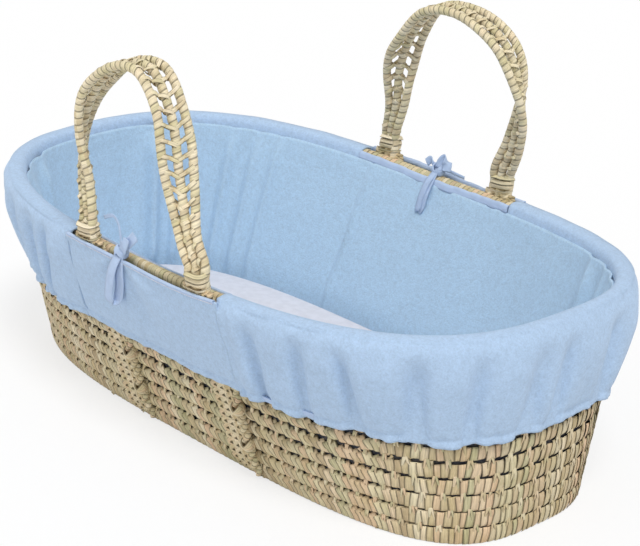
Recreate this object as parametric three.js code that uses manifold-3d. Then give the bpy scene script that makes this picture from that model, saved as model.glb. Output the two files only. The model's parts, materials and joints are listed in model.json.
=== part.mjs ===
// Moses basket: a plaited palm-leaf basket with two strap handles, a fleece liner and a mattress.
// Millimetres. +X runs to the foot end, +Y across the basket, +Z up. The origin is the middle of
// the underside.

import * as THREE from 'three';
import { mergeVertices } from 'three/addons/utils/BufferGeometryUtils.js';
import Module from 'manifold-3d';

const manifold = await Module();
manifold.setup();

// Clearance between pieces that touch.
const GAP = 0.3;

// Wall: its centre line is a superellipse at the floor and a rounder one at the rim.
const BASE_HALF_LENGTH = 386;
const BASE_HALF_WIDTH = 150;
const BASE_SQUARENESS = 3.3;
const RIM_HALF_LENGTH = 416;
const RIM_HALF_WIDTH = 229;
const RIM_SQUARENESS = 2.75;
const WALL_HEIGHT = 243;
const WALL_THICKNESS = 11;
const ROW_COUNT = 12;
const FOOT_LIFT = 16;
const HEAD_LIFT = 2;
const FOOT_FLARE = 0.026;
const RIM_CHAMFER = 5;
const STATIONS = 40;

// Base panel and the two straps that run under it and up to the handles.
const PANEL_THICKNESS = 8;
const CORD_DIAMETER = 11;
const CORD_PITCH = 18;
const STRAP_WIDTH = 2 * CORD_PITCH + CORD_DIAMETER;
const SLING_THICKNESS = 7;
const SLING_BEND = 8;
const STRAP_SPACING = 194;
const STRAP_SKEW = 2;

// Handles: each strap arches from foot to foot and leans towards the middle.
const HINGE_HEIGHT = WALL_HEIGHT + 13;
const HANDLE_RISE = 213;
const HANDLE_LEAN = 14;
const WRAP_RADIUS = 6.5;
const WRAP_SIDES = 12;
const CORD_STEPS = 28;
const CORD_SIDES = 6;
const LACE_DIAMETER = 2.4;
const LACE_REACH = 1.5;
const LACE_LOOPS = 30;
const TWIST_START = 0.05;
const TWIST_LENGTH = 0.33;

// Arch shapes: along the half spacing of the feet, and up the rise of the handle.
const NEAR_ARCH = [
  [-1, 0.08], [-1.08, 0.28], [-1.17, 0.54], [-0.99, 0.775], [-0.5, 0.967],
  [0.02, 1], [0.39, 0.82], [0.63, 0.484], [0.84, 0.2], [1, 0.08],
];
const FAR_ARCH = [
  [-1, 0.08], [-0.89, 0.28], [-0.825, 0.5], [-0.64, 0.7], [-0.19, 0.93],
  [0.43, 0.965], [1.03, 0.845], [1.29, 0.573], [1.18, 0.27], [1, 0.08],
];

// Liner: a fleece lining, a valance over the rim at both ends, and a lower panel past each handle.
const LINING_THICKNESS = 2;
const LINING_BANDS = 5;
const LINING_CLEARANCE = 0.5;
const FLEECE_THICKNESS = 2.5;
const CREST_HEIGHT = WALL_HEIGHT + FLEECE_THICKNESS + LINING_CLEARANCE;
const LINING_TOP_DROP = 15;
const HEM_DROP = 118;
const HEAD_HEM_FALL = 13;
const FOOT_HEM_FALL = 3;
const SLOT_HALF_LENGTH = (STRAP_SPACING + STRAP_WIDTH) / 2 + 9.5;
const SLOT_PANEL_DROP = 7.5;
const SLOT_PANEL_OFFSET = WALL_THICKNESS / 2 + SLING_THICKNESS + FLEECE_THICKNESS + 3.1;
const SLOT_BINDING_HEIGHT = 5;
const LINING_BINDING_HEIGHT = 10;
const ELASTIC_WIDTH = 6;
const ELASTIC_THICKNESS = 2.5;
const ELASTIC_RISE = 2;
const HEM_BULGE_START = SLOT_HALF_LENGTH + 50;
const HEM_BULGE_END = SLOT_HALF_LENGTH + 190;

// Ties that close the liner over the rim between the legs of each handle.
const TAPE_WIDTH = 11;
const TAPE_THICKNESS = 1.2;
const NEAR_KNOT_X = -28;
const FAR_KNOT_X = -2;
const KNOT_RADII = [8, 5.5, 6.5];

// Mattress: a foam core in a two-part cover.
const MATTRESS_HALF_LENGTH = BASE_HALF_LENGTH - 16;
const MATTRESS_HALF_WIDTH = BASE_HALF_WIDTH - 10;
const MATTRESS_SQUARENESS = 2.9;
const MATTRESS_THICKNESS = 38;
const MATTRESS_EDGE = 7;
const COVER_THICKNESS = 1.2;

const PALM = new THREE.MeshStandardMaterial({ color: 0xcdbc90, roughness: 0.7, metalness: 0 });
const FLEECE = new THREE.MeshStandardMaterial({ color: 0xa9c0e4, roughness: 0.95, metalness: 0 });
const TAPE = new THREE.MeshStandardMaterial({ color: 0x9cb2d8, roughness: 0.85, metalness: 0 });
const COTTON = new THREE.MeshStandardMaterial({ color: 0xe9e6ea, roughness: 0.9, metalness: 0 });
const FOAM = new THREE.MeshStandardMaterial({ color: 0xefe9c9, roughness: 0.95, metalness: 0 });

const { lerp, smoothstep, clamp } = THREE.MathUtils;
const basket = new THREE.Group();

function addPiece(name, geometry, material) {
  const mesh = new THREE.Mesh(geometry, material);
  mesh.name = name;
  basket.add(mesh);
}

// Outlines ---------------------------------------------------------------------------------------

function superellipse(halfLength, halfWidth, squareness, flare) {
  const power = 2 / squareness;
  const outline = [];
  for (let i = 0; i < STATIONS; i++) {
    const angle = (2 * Math.PI * i) / STATIONS;
    const c = Math.cos(angle);
    const s = Math.sin(angle);
    const along = Math.sign(c) * Math.abs(c) ** power;
    const across = Math.sign(s) * Math.abs(s) ** power;
    const widening = 1 + flare * along ** 3;
    const normal = new THREE.Vector2(
      (Math.sign(c) * Math.abs(c) ** (2 - power)) / halfLength,
      (Math.sign(s) * Math.abs(s) ** (2 - power)) / halfWidth,
    ).normalize();
    const point = new THREE.Vector2(halfLength * along, halfWidth * across * widening);
    outline.push({ point, normal });
  }
  return outline;
}

const floorOutline = superellipse(BASE_HALF_LENGTH, BASE_HALF_WIDTH, BASE_SQUARENESS, FOOT_FLARE);
const rimOutline = superellipse(RIM_HALF_LENGTH, RIM_HALF_WIDTH, RIM_SQUARENESS, FOOT_FLARE);
const mattressOutline = superellipse(MATTRESS_HALF_LENGTH, MATTRESS_HALF_WIDTH, MATTRESS_SQUARENESS, 0);

function wrapStation(station) {
  return ((station % STATIONS) + STATIONS) % STATIONS;
}

function rimX(station) {
  return rimOutline[wrapStation(station)].point.x;
}

// The rim rises towards both ends, most of all at the foot.
function stretchAt(station) {
  const along = rimX(station) / RIM_HALF_LENGTH;
  const lift = along > 0 ? FOOT_LIFT : HEAD_LIFT;
  return 1 + (lift * along ** 2) / WALL_HEIGHT;
}

// A point of the wall at a station, pushed outwards from the wall's centre line.
function onWall(station, offset, height) {
  const i = wrapStation(station);
  const { normal } = rimOutline[i];
  const spot = floorOutline[i].point.clone().lerp(rimOutline[i].point, height / WALL_HEIGHT);
  spot.addScaledVector(normal, offset);
  return new THREE.Vector3(spot.x, spot.y, height * stretchAt(station));
}

function onFloorPanel(station, offset, height) {
  return onWall(station, offset, height).setZ(height);
}

function onMattress(station, offset, height) {
  const { point, normal } = mattressOutline[wrapStation(station)];
  const spot = point.clone().addScaledVector(normal, offset);
  return new THREE.Vector3(spot.x, spot.y, height);
}

// Between two stations every piece runs straight, so that clearances stay the same all round.
function between(turn, place) {
  const station = Math.floor(turn);
  return place(station).lerp(place(station + 1), turn - station);
}

// The rim's half width at a distance along the basket.
function halfWidthAt(outline, x) {
  for (let i = 0; i < STATIONS / 2; i++) {
    const from = outline[i].point;
    const to = outline[i + 1].point;
    if (x <= from.x && x >= to.x) return lerp(from.y, to.y, (from.x - x) / (from.x - to.x));
  }
  return 0;
}

// The turn, counted in stations, at which the far side of the rim reaches a distance along it.
function turnAt(x) {
  for (let i = 0; i < STATIONS / 2; i++) {
    const from = rimX(i);
    const to = rimX(i + 1);
    if (x <= from && x >= to) return i + (from - x) / (from - to);
  }
  return 0;
}

// Solids -----------------------------------------------------------------------------------------

function moveVertices(geometry, place) {
  const position = geometry.getAttribute('position');
  for (let index = 0; index < position.count; index++) {
    const spot = place(new THREE.Vector3().fromBufferAttribute(position, index), index);
    position.setXYZ(index, spot.x, spot.y, spot.z);
  }
  geometry.computeVertexNormals();
  return geometry;
}

// A closed section of (offset, height) points carried once round the basket.
function wrapRing(section, place) {
  const profile = [...section, section[0]].map(([offset, height]) => new THREE.Vector2(offset, height));
  const ring = new THREE.LatheGeometry(profile, STATIONS);
  return moveVertices(ring, (spot, index) => {
    const { x, y } = profile[index % profile.length];
    return place(Math.floor(index / profile.length), x, y);
  });
}

// A solid plate: the section runs from the middle of the underside to the middle of the top.
function wrapPlate(underside, edge, top, place) {
  const profile = [[0, underside], ...edge, [0, top]].map(([x, y]) => new THREE.Vector2(x, y));
  const plate = new THREE.LatheGeometry(profile, STATIONS);
  return moveVertices(plate, (spot, index) => {
    const row = index % profile.length;
    const { x, y } = profile[row];
    if (row === 0 || row === profile.length - 1) return new THREE.Vector3(0, 0, y);
    return place(Math.floor(index / profile.length), x, y);
  });
}

function shapeOf(points) {
  return new THREE.Shape(points.map(([x, y]) => new THREE.Vector2(x, y)));
}

// A section of (offset, height) points carried round the basket from one turn to another.
function wrapPanel(section, fromTurn, toTurn, place) {
  const turns = [toTurn];
  for (let station = Math.ceil(toTurn) - 1; station > fromTurn; station--) turns.push(station);
  turns.push(fromTurn);
  const steps = turns.length - 1;
  const panel = new THREE.ExtrudeGeometry(shapeOf(section), { depth: steps, steps, bevelEnabled: false });
  return moveVertices(panel, ({ x, y, z }) =>
    between(turns[Math.round(z)], (station) => place(station, x, y)));
}

// The outline of a sheet whose outer face follows a path; the sheet lies to the path's right.
function sheetSection(path, thickness) {
  const back = path.map(([x, y], i) => {
    const before = path[Math.max(i - 1, 0)];
    const after = path[Math.min(i + 1, path.length - 1)];
    const run = new THREE.Vector2(after[0] - before[0], after[1] - before[1]).normalize();
    return [x + run.y * thickness, y - run.x * thickness];
  });
  return [...path, ...back.reverse()];
}

function tubeAlong(path, diameter, sides, steps) {
  const circle = new THREE.Shape().absarc(0, 0, diameter / 2, 0, 2 * Math.PI);
  const options = { steps, curveSegments: sides / 2, bevelEnabled: false, extrudePath: path };
  return new THREE.ExtrudeGeometry(circle, options);
}

function toSolid(geometry) {
  const bare = geometry.clone();
  bare.deleteAttribute('normal');
  bare.deleteAttribute('uv');
  const merged = mergeVertices(bare);
  const vertProperties = new Float32Array(merged.getAttribute('position').array);
  const triVerts = new Uint32Array(merged.index.array);
  return new manifold.Manifold(new manifold.Mesh({ numProp: 3, vertProperties, triVerts }));
}

function toGeometry(solid) {
  const { vertProperties, triVerts } = solid.getMesh();
  const geometry = new THREE.BufferGeometry();
  geometry.setAttribute('position', new THREE.BufferAttribute(vertProperties, 3));
  geometry.setIndex(new THREE.BufferAttribute(triVerts, 1));
  geometry.computeVertexNormals();
  return geometry;
}

// Basket -----------------------------------------------------------------------------------------

const ROW_PITCH = WALL_HEIGHT / ROW_COUNT;
const HALF_WALL = WALL_THICKNESS / 2;
const STRAP_X = STRAP_SPACING / 2;
const PANEL_BOTTOM = SLING_THICKNESS + GAP;
const PANEL_TOP = PANEL_BOTTOM + PANEL_THICKNESS;

// Straps lie a little askew: towards the foot on the near side, towards the head on the far side.
function skewed(spot) {
  return spot.setX(spot.x - (STRAP_SKEW * spot.y) / HINGE_Y);
}

// The inner face of a sling: just outside the wall, on its slope.
function slingFace(height) {
  const innerEdge = STRAP_X - STRAP_SKEW - STRAP_WIDTH / 2;
  const onFloor = halfWidthAt(floorOutline, innerEdge);
  const onRim = halfWidthAt(rimOutline, innerEdge);
  return lerp(onFloor, onRim, height / WALL_HEIGHT) + HALF_WALL + GAP;
}

const HINGE_Y = slingFace(HINGE_HEIGHT) + SLING_THICKNESS / 2;

function wallRow(level) {
  const low = level * ROW_PITCH;
  const high = low + ROW_PITCH - GAP;
  return wrapRing([[HALF_WALL, low], [HALF_WALL, high], [-HALF_WALL, high], [-HALF_WALL, low]], onWall);
}

// The slings pass under the lowest row, in notches.
function bottomRow() {
  let row = toSolid(wallRow(0));
  for (const side of [-1, 1]) {
    const width = STRAP_WIDTH + 2 * GAP;
    const notch = new THREE.BoxGeometry(width, 4 * BASE_HALF_WIDTH, 2 * PANEL_BOTTOM);
    notch.translate(side * STRAP_X, 0, 0);
    row = row.subtract(toSolid(moveVertices(notch, skewed)));
  }
  return toGeometry(row);
}

function rimCoil() {
  const low = (ROW_COUNT - 1) * ROW_PITCH;
  const shoulder = WALL_HEIGHT - RIM_CHAMFER;
  const crown = HALF_WALL - RIM_CHAMFER / 2;
  const outer = [[HALF_WALL, low], [HALF_WALL, shoulder], [crown, WALL_HEIGHT]];
  const inner = [[-crown, WALL_HEIGHT], [-HALF_WALL, shoulder], [-HALF_WALL, low]];
  return wrapRing([...outer, ...inner], onWall);
}

function basePanel() {
  const reach = -HALF_WALL - GAP;
  const edge = [[reach, PANEL_BOTTOM], [reach, PANEL_TOP]];
  return wrapPlate(PANEL_BOTTOM, edge, PANEL_TOP, (station, offset, height) =>
    onFloorPanel(station, offset, PANEL_BOTTOM).setZ(height));
}

function sling(x) {
  const top = HINGE_HEIGHT - WRAP_RADIUS - GAP;
  const half = [
    [slingFace(0) + SLING_BEND / 4, 0],
    [slingFace(SLING_BEND) + SLING_THICKNESS, SLING_BEND],
    [slingFace(top) + SLING_THICKNESS, top],
    [slingFace(top), top],
    [slingFace(SLING_THICKNESS), SLING_THICKNESS],
  ];
  const mirrored = half.map(([y, z]) => [-y, z]).reverse();
  const options = { depth: STRAP_WIDTH, bevelEnabled: false };
  const strap = new THREE.ExtrudeGeometry(shapeOf([...half, ...mirrored]), options);
  return moveVertices(strap, ({ x: y, y: z, z: width }) =>
    skewed(new THREE.Vector3(x + width - STRAP_WIDTH / 2, y, z)));
}

addPiece('wall_row_01', bottomRow(), PALM);
for (let level = 1; level < ROW_COUNT - 1; level++) {
  addPiece(`wall_row_${String(level + 1).padStart(2, '0')}`, wallRow(level), PALM);
}
addPiece('rim_coil', rimCoil(), PALM);
addPiece('base_panel', basePanel(), PALM);
addPiece('sling_head', sling(-STRAP_X), PALM);
addPiece('sling_foot', sling(STRAP_X), PALM);

// Handles ----------------------------------------------------------------------------------------

// The middle line of a handle's strap, from its head-side foot to its foot-side foot.
function handleArch(side, arch) {
  const start = (WRAP_RADIUS + 2 * GAP) / HANDLE_RISE;
  const points = [[-1, start], ...arch, [1, start]].map(([along, up]) => new THREE.Vector3(
    -side * STRAP_SKEW + along * STRAP_X,
    side * (HINGE_Y - HANDLE_LEAN * up),
    HINGE_HEIGHT + HANDLE_RISE * up,
  ));
  return new THREE.CatmullRomCurve3(points);
}

// The strap is flat against the wall at its feet and turns a quarter turn to lie flat on top.
function strapTwist(u) {
  const rising = smoothstep(u, TWIST_START, TWIST_START + TWIST_LENGTH);
  const falling = smoothstep(u, 1 - TWIST_START - TWIST_LENGTH, 1 - TWIST_START);
  return (Math.PI / 2) * (rising + falling);
}

// A line that runs along the strap at a distance across it, given along the strap.
class StrapLine extends THREE.Curve {
  constructor(side, arch, across) {
    super();
    this.side = side;
    this.arch = arch;
    this.across = across;
  }

  getPoint(u, target = new THREE.Vector3()) {
    const twist = strapTwist(u);
    const forward = this.arch.getTangentAt(u);
    const width = new THREE.Vector3(Math.cos(twist), this.side * Math.sin(twist), 0);
    width.addScaledVector(forward, -width.dot(forward)).normalize();
    return target.copy(this.arch.getPointAt(u)).addScaledVector(width, this.across(u));
  }
}

// A lace swings from one cord to the next and back.
function laceSwing(u) {
  const phase = u * LACE_LOOPS;
  return LACE_REACH * (4 * Math.abs(phase - Math.floor(phase + 0.5)) - 1);
}

function footWrap(side, end) {
  const wrap = new THREE.CylinderGeometry(WRAP_RADIUS, WRAP_RADIUS, STRAP_WIDTH, WRAP_SIDES);
  wrap.rotateZ(Math.PI / 2);
  wrap.translate(end * STRAP_X - side * STRAP_SKEW, side * HINGE_Y, HINGE_HEIGHT);
  return wrap;
}

function addHandle(name, side, archShape) {
  const arch = handleArch(side, archShape);
  for (const [label, place] of [['a', -1], ['b', 0], ['c', 1]]) {
    const line = new StrapLine(side, arch, () => place * CORD_PITCH);
    addPiece(`${name}_handle_cord_${label}`, tubeAlong(line, CORD_DIAMETER, CORD_SIDES, CORD_STEPS), PALM);
  }
  for (const [label, place] of [['a', -0.5], ['b', 0.5]]) {
    const line = new StrapLine(side, arch, (u) => place * CORD_PITCH + laceSwing(u));
    addPiece(`${name}_handle_lace_${label}`, tubeAlong(line, LACE_DIAMETER, 4, 2 * LACE_LOOPS), PALM);
  }
  addPiece(`${name}_handle_wrap_head`, footWrap(side, -1), PALM);
  addPiece(`${name}_handle_wrap_foot`, footWrap(side, 1), PALM);
}

addHandle('near', -1, NEAR_ARCH);
addHandle('far', 1, FAR_ARCH);

// Liner ------------------------------------------------------------------------------------------

const HEM_HEIGHT = CREST_HEIGHT - HEM_DROP;
const LINING_FACE = -HALF_WALL - LINING_CLEARANCE;
const LINING_TOP = CREST_HEIGHT - LINING_TOP_DROP - GAP;
const LINING_FLOOR_TOP = PANEL_TOP + GAP + LINING_THICKNESS;
const ELASTIC_FACE = HALF_WALL + GAP;
const HEM_OFFSET = ELASTIC_FACE + ELASTIC_THICKNESS + GAP + FLEECE_THICKNESS;
const SLOT_SHEET = SLOT_PANEL_OFFSET - FLEECE_THICKNESS;
const HEM_BULGE = SLOT_SHEET - ELASTIC_FACE;

// How far the hem stands off along the sides, where it passes over the slings.
function hemBulge(station) {
  const away = Math.abs(rimX(station));
  return HEM_BULGE * (1 - smoothstep(away, HEM_BULGE_START, HEM_BULGE_END));
}

// The hem hangs lower towards the ends.
function hemFall(station) {
  const along = rimX(station) / RIM_HALF_LENGTH;
  return (along > 0 ? FOOT_HEM_FALL : HEAD_HEM_FALL) * along ** 2;
}

// How far down from the lining's edge to the hem a point of the valance hangs, from 0 to 1.
function belowRoll(drop) {
  return clamp((drop - LINING_TOP_DROP) / (HEM_DROP - LINING_TOP_DROP), 0, 1);
}

// Section points are (offset, drop below the crest); what hangs near the hem follows it.
function onValance(station, offset, drop) {
  const low = belowRoll(drop);
  const bulge = hemBulge(station) * smoothstep(low, 0.4, 0.9);
  return onWall(station, offset + bulge, CREST_HEIGHT - drop - low * hemFall(station));
}

function onSlotPanel(station, offset, drop) {
  return onWall(station, offset, CREST_HEIGHT - drop - belowRoll(drop) * hemFall(station));
}

// The lining follows the wall's slope in a few bands, so that it stays clear of the rows.
function lining() {
  const low = LINING_FLOOR_TOP + GAP;
  const heights = [];
  for (let band = 0; band <= LINING_BANDS; band++) heights.push(lerp(low, LINING_TOP, band / LINING_BANDS));
  const outer = heights.map((height) => [LINING_FACE, height]);
  const inner = heights.map((height) => [LINING_FACE - LINING_THICKNESS, height]).reverse();
  return wrapRing([...outer, ...inner], onWall);
}

function liningFloor() {
  const bottom = PANEL_TOP + GAP;
  const edge = [[LINING_FACE, bottom], [LINING_FACE, LINING_FLOOR_TOP]];
  return wrapPlate(bottom, edge, LINING_FLOOR_TOP, (station, offset, height) =>
    onFloorPanel(station, offset, PANEL_BOTTOM).setZ(height));
}

// The valance rises inside the wall, rolls over the rim and hangs outside it to the hem.
function valance(fromTurn, toTurn) {
  const inside = LINING_FACE - FLEECE_THICKNESS;
  const path = [
    [inside, LINING_TOP_DROP], [inside, 7], [inside + 1.7, 2], [2 - HALF_WALL, 0.1],
    [HALF_WALL - 2.5, 0], [HALF_WALL + 3.5, 1.6], [HALF_WALL + 8.5, 6], [HALF_WALL + 13, 14],
    [HALF_WALL + 15.5, 27], [HALF_WALL + 16, 42], [HALF_WALL + 14, 62], [HALF_WALL + 10.5, 84],
    [HEM_OFFSET + 0.5, 106], [HEM_OFFSET, HEM_DROP],
  ];
  const section = sheetSection(path.map(([x, drop]) => [x, -drop]), FLEECE_THICKNESS);
  return wrapPanel(section, fromTurn, toTurn, (station, offset, height) =>
    onValance(station, offset, -height));
}

function slotPanel(fromTurn, toTurn) {
  const hem = HEM_OFFSET + HEM_BULGE;
  const top = [SLOT_PANEL_OFFSET, SLOT_PANEL_DROP];
  const path = [top, [hem, 30], [hem + 1, 60], [hem + 0.5, 90], [hem, HEM_DROP]];
  const section = sheetSection(path.map(([x, drop]) => [x, -drop]), -FLEECE_THICKNESS);
  return wrapPanel(section, fromTurn, toTurn, (station, offset, height) =>
    onSlotPanel(station, offset, -height));
}

function binding(inner, bottom, height, fromTurn, toTurn) {
  const outer = inner + FLEECE_THICKNESS;
  const top = bottom + height;
  const section = [[inner, bottom], [outer, bottom], [outer, top], [inner, top]];
  return wrapPanel(section, fromTurn, toTurn, onWall);
}

function hemElastic() {
  const top = ELASTIC_RISE + ELASTIC_WIDTH;
  const outer = ELASTIC_FACE + ELASTIC_THICKNESS;
  const section = [[outer, ELASTIC_RISE], [outer, top], [ELASTIC_FACE, top], [ELASTIC_FACE, ELASTIC_RISE]];
  return wrapRing(section, (station, offset, rise) =>
    onWall(station, offset + hemBulge(station), HEM_HEIGHT - hemFall(station) + rise));
}

addPiece('lining', lining(), FLEECE);
addPiece('lining_floor', liningFloor(), FLEECE);

const slotTurn = turnAt(SLOT_HALF_LENGTH);
const halfTurn = STATIONS / 2;
const seam = GAP / (rimX(Math.floor(slotTurn)) - rimX(Math.ceil(slotTurn)));
addPiece('valance_foot', valance(-slotTurn, slotTurn), FLEECE);
addPiece('valance_head', valance(halfTurn - slotTurn, halfTurn + slotTurn), FLEECE);

const slotEdge = CREST_HEIGHT - SLOT_PANEL_DROP + GAP;
const liningEdge = LINING_TOP + GAP;
const liningSheet = LINING_FACE - FLEECE_THICKNESS;
for (const [name, start] of [['far', slotTurn + seam], ['near', halfTurn + slotTurn + seam]]) {
  const end = start + halfTurn - 2 * (slotTurn + seam);
  addPiece(`slot_panel_${name}`, slotPanel(start, end), FLEECE);
  const slotBinding = binding(SLOT_SHEET, slotEdge, SLOT_BINDING_HEIGHT, start, end);
  const liningBinding = binding(liningSheet, liningEdge, LINING_BINDING_HEIGHT, start, end);
  addPiece(`slot_binding_${name}`, slotBinding, TAPE);
  addPiece(`lining_binding_${name}`, liningBinding, TAPE);
}
addPiece('hem_elastic', hemElastic(), TAPE);

// Ties -------------------------------------------------------------------------------------------

function tieKnot(x, y, z) {
  const knot = new THREE.SphereGeometry(1, 8, 6);
  knot.scale(...KNOT_RADII);
  knot.translate(x, y, z);
  return knot;
}

// A flat tape seen from its edge along (y, z) points, and drifting along X as it goes.
function tieTape(x, drift, path) {
  const options = { depth: TAPE_WIDTH, bevelEnabled: false };
  const tape = new THREE.ExtrudeGeometry(shapeOf(sheetSection(path, TAPE_THICKNESS)), options);
  const [firstZ, lastZ] = [path[0][1], path[path.length - 1][1]];
  return moveVertices(tape, ({ x: y, y: z, z: width }) => {
    const down = (z - firstZ) / (lastZ - firstZ);
    return new THREE.Vector3(x + drift * down + width - TAPE_WIDTH / 2, y, z);
  });
}

// Each tie is a knot on the rim, a loop that hangs from it and a tail that stands up from it.
function addTie(name, x, knotY, loop, tail) {
  const knotZ = WALL_HEIGHT + KNOT_RADII[2] + GAP;
  const loopY = knotY - KNOT_RADII[1] - GAP;
  const tailZ = knotZ + KNOT_RADII[2] + GAP;
  const loopPath = loop.path.map(([out, down]) => [loopY - out, knotZ - down]);
  const tailPath = tail.path.map(([out, up]) => [knotY - out, tailZ + up]);
  addPiece(`${name}_tie_knot`, tieKnot(x, knotY, knotZ), TAPE);
  addPiece(`${name}_tie_loop`, tieTape(x, loop.drift, loopPath), TAPE);
  addPiece(`${name}_tie_tail`, tieTape(x, tail.drift, tailPath), TAPE);
}

const nearLoop = { drift: -14, path: [[0, 0], [3, 20], [3, 45], [1, 64]] };
const nearTail = { drift: 26, path: [[1, 0], [2, 12], [-1, 24]] };
const farLoop = { drift: -2, path: [[0, 0], [6, 10], [9, 20], [15, 38], [20, 54]] };
const farTail = { drift: 14, path: [[0, 0], [-2, 6], [-2, 12]] };
addTie('near', NEAR_KNOT_X, -HINGE_Y, nearLoop, nearTail);
addTie('far', FAR_KNOT_X, RIM_HALF_WIDTH - TAPE_THICKNESS, farLoop, farTail);

// Mattress ---------------------------------------------------------------------------------------

const MATTRESS_BOTTOM = LINING_FLOOR_TOP + GAP;
const MATTRESS_TOP = MATTRESS_BOTTOM + MATTRESS_THICKNESS;

function coverTop() {
  const inside = -COVER_THICKNESS;
  const ceiling = MATTRESS_TOP - COVER_THICKNESS;
  const edge = [
    [-MATTRESS_EDGE, ceiling],
    [inside, MATTRESS_TOP - MATTRESS_EDGE],
    [inside, MATTRESS_BOTTOM],
    [0, MATTRESS_BOTTOM],
    [0, MATTRESS_TOP - MATTRESS_EDGE],
    [-MATTRESS_EDGE, MATTRESS_TOP],
  ];
  return wrapPlate(ceiling, edge, MATTRESS_TOP, onMattress);
}

function coverBase() {
  const reach = -COVER_THICKNESS - GAP;
  const top = MATTRESS_BOTTOM + COVER_THICKNESS;
  return wrapPlate(MATTRESS_BOTTOM, [[reach, MATTRESS_BOTTOM], [reach, top]], top, onMattress);
}

function foamCore() {
  const reach = -COVER_THICKNESS - GAP;
  const bottom = MATTRESS_BOTTOM + COVER_THICKNESS + GAP;
  const top = MATTRESS_TOP - COVER_THICKNESS - GAP;
  const edge = [[reach, bottom], [reach, MATTRESS_TOP - MATTRESS_EDGE - GAP], [-MATTRESS_EDGE - GAP, top]];
  return wrapPlate(bottom, edge, top, onMattress);
}

addPiece('mattress_cover_top', coverTop(), COTTON);
addPiece('mattress_cover_base', coverBase(), COTTON);
addPiece('mattress_foam', foamCore(), FOAM);

export default basket;
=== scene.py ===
"""The looks of a palm-leaf moses basket: plaited wall, slings, handles, fleece liner and mattress."""

import json
import math

import bmesh
import bpy
import numpy as np
from mathutils import Matrix, Vector


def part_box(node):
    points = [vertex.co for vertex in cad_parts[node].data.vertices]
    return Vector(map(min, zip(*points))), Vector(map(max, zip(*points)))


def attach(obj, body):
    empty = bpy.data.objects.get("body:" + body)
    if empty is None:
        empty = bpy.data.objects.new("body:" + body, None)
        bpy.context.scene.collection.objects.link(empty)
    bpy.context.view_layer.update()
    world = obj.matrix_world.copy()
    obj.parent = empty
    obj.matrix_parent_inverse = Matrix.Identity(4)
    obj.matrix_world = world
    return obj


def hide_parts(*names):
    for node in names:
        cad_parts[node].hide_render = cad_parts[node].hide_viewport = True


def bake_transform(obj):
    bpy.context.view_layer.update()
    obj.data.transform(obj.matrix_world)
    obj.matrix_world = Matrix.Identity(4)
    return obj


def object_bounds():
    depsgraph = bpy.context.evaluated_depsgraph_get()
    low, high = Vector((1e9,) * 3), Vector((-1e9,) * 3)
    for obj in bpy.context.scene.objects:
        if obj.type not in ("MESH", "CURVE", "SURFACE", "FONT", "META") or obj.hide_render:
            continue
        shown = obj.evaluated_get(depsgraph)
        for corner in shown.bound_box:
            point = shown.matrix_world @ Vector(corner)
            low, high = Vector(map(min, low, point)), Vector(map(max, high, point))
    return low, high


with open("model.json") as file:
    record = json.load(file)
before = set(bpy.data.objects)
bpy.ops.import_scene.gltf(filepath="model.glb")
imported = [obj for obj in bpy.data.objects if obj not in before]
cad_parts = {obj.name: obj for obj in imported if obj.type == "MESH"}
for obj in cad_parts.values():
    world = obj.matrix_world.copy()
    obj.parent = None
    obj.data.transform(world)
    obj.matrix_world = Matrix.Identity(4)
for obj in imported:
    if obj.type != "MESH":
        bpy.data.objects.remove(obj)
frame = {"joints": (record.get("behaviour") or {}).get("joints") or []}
cad_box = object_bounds()
for leftover in ("Cube", "Light", "Camera"):
    if leftover in bpy.data.objects:
        bpy.data.objects.remove(bpy.data.objects[leftover])

MM = 0.001

# The wall of the CAD model, as part.mjs lays it out.
BASE_OUTLINE = (0.386, 0.150, 3.3)
RIM_OUTLINE = (0.416, 0.229, 2.75)
WALL_HEIGHT = 0.243
HALF_WALL = 0.0055
FOOT_FLARE = 0.026
FOOT_LIFT = 0.016
HEAD_LIFT = 0.002
ROW_COUNT = 12
ROW_PITCH = WALL_HEIGHT / ROW_COUNT
OUTLINE_STEPS = 2880

# The slings and handles.
STRAP_WIDTH = 0.047
SLING_THICKNESS = 0.007
STRAP_X = 0.097
STRAP_SKEW = 0.002
HANDLE_RISE = 0.213
HANDLE_LEAN = 0.014
CORD_RADIUS = 0.0053
CORD_PITCH = 0.018
NEAR_ARCH = [
    (-1, 0.08), (-1.08, 0.28), (-1.17, 0.54), (-0.99, 0.775), (-0.5, 0.967),
    (0.02, 1), (0.39, 0.82), (0.63, 0.484), (0.84, 0.2), (1, 0.08),
]
FAR_ARCH = [
    (-1, 0.08), (-0.89, 0.28), (-0.825, 0.5), (-0.64, 0.7), (-0.19, 0.93),
    (0.43, 0.965), (1.03, 0.845), (1.29, 0.573), (1.18, 0.27), (1, 0.08),
]

# The liner.
CREST = 0.2465
SLOT_HALF_LENGTH = 0.130
HEM_DROP = 0.118
FLEECE = 0.0025

random = np.random.RandomState(7)


def smoothstep(value, low, high):
    t = np.clip((np.asarray(value) - low) / (high - low), 0, 1)
    return t * t * (3 - 2 * t)


def unit(vectors):
    return vectors / np.maximum(np.linalg.norm(vectors, axis=-1, keepdims=True), 1e-9)


def lengths_along(line):
    """How far along a line each of its points lies."""
    return np.r_[0, np.linalg.norm(np.diff(line, axis=0), axis=1).cumsum()]


def square_to(out, travel):
    """The direction nearest out that stands square to travel."""
    return unit(out - travel * np.einsum("...i,...i", out, travel)[..., None])


def table_at(table, length, along):
    """The rows of a table, which lie at length along a line, worked out for the places along it."""
    return np.stack([np.interp(along, length, table[:, axis]) for axis in range(table.shape[1])], -1)


# The wall surface


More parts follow.
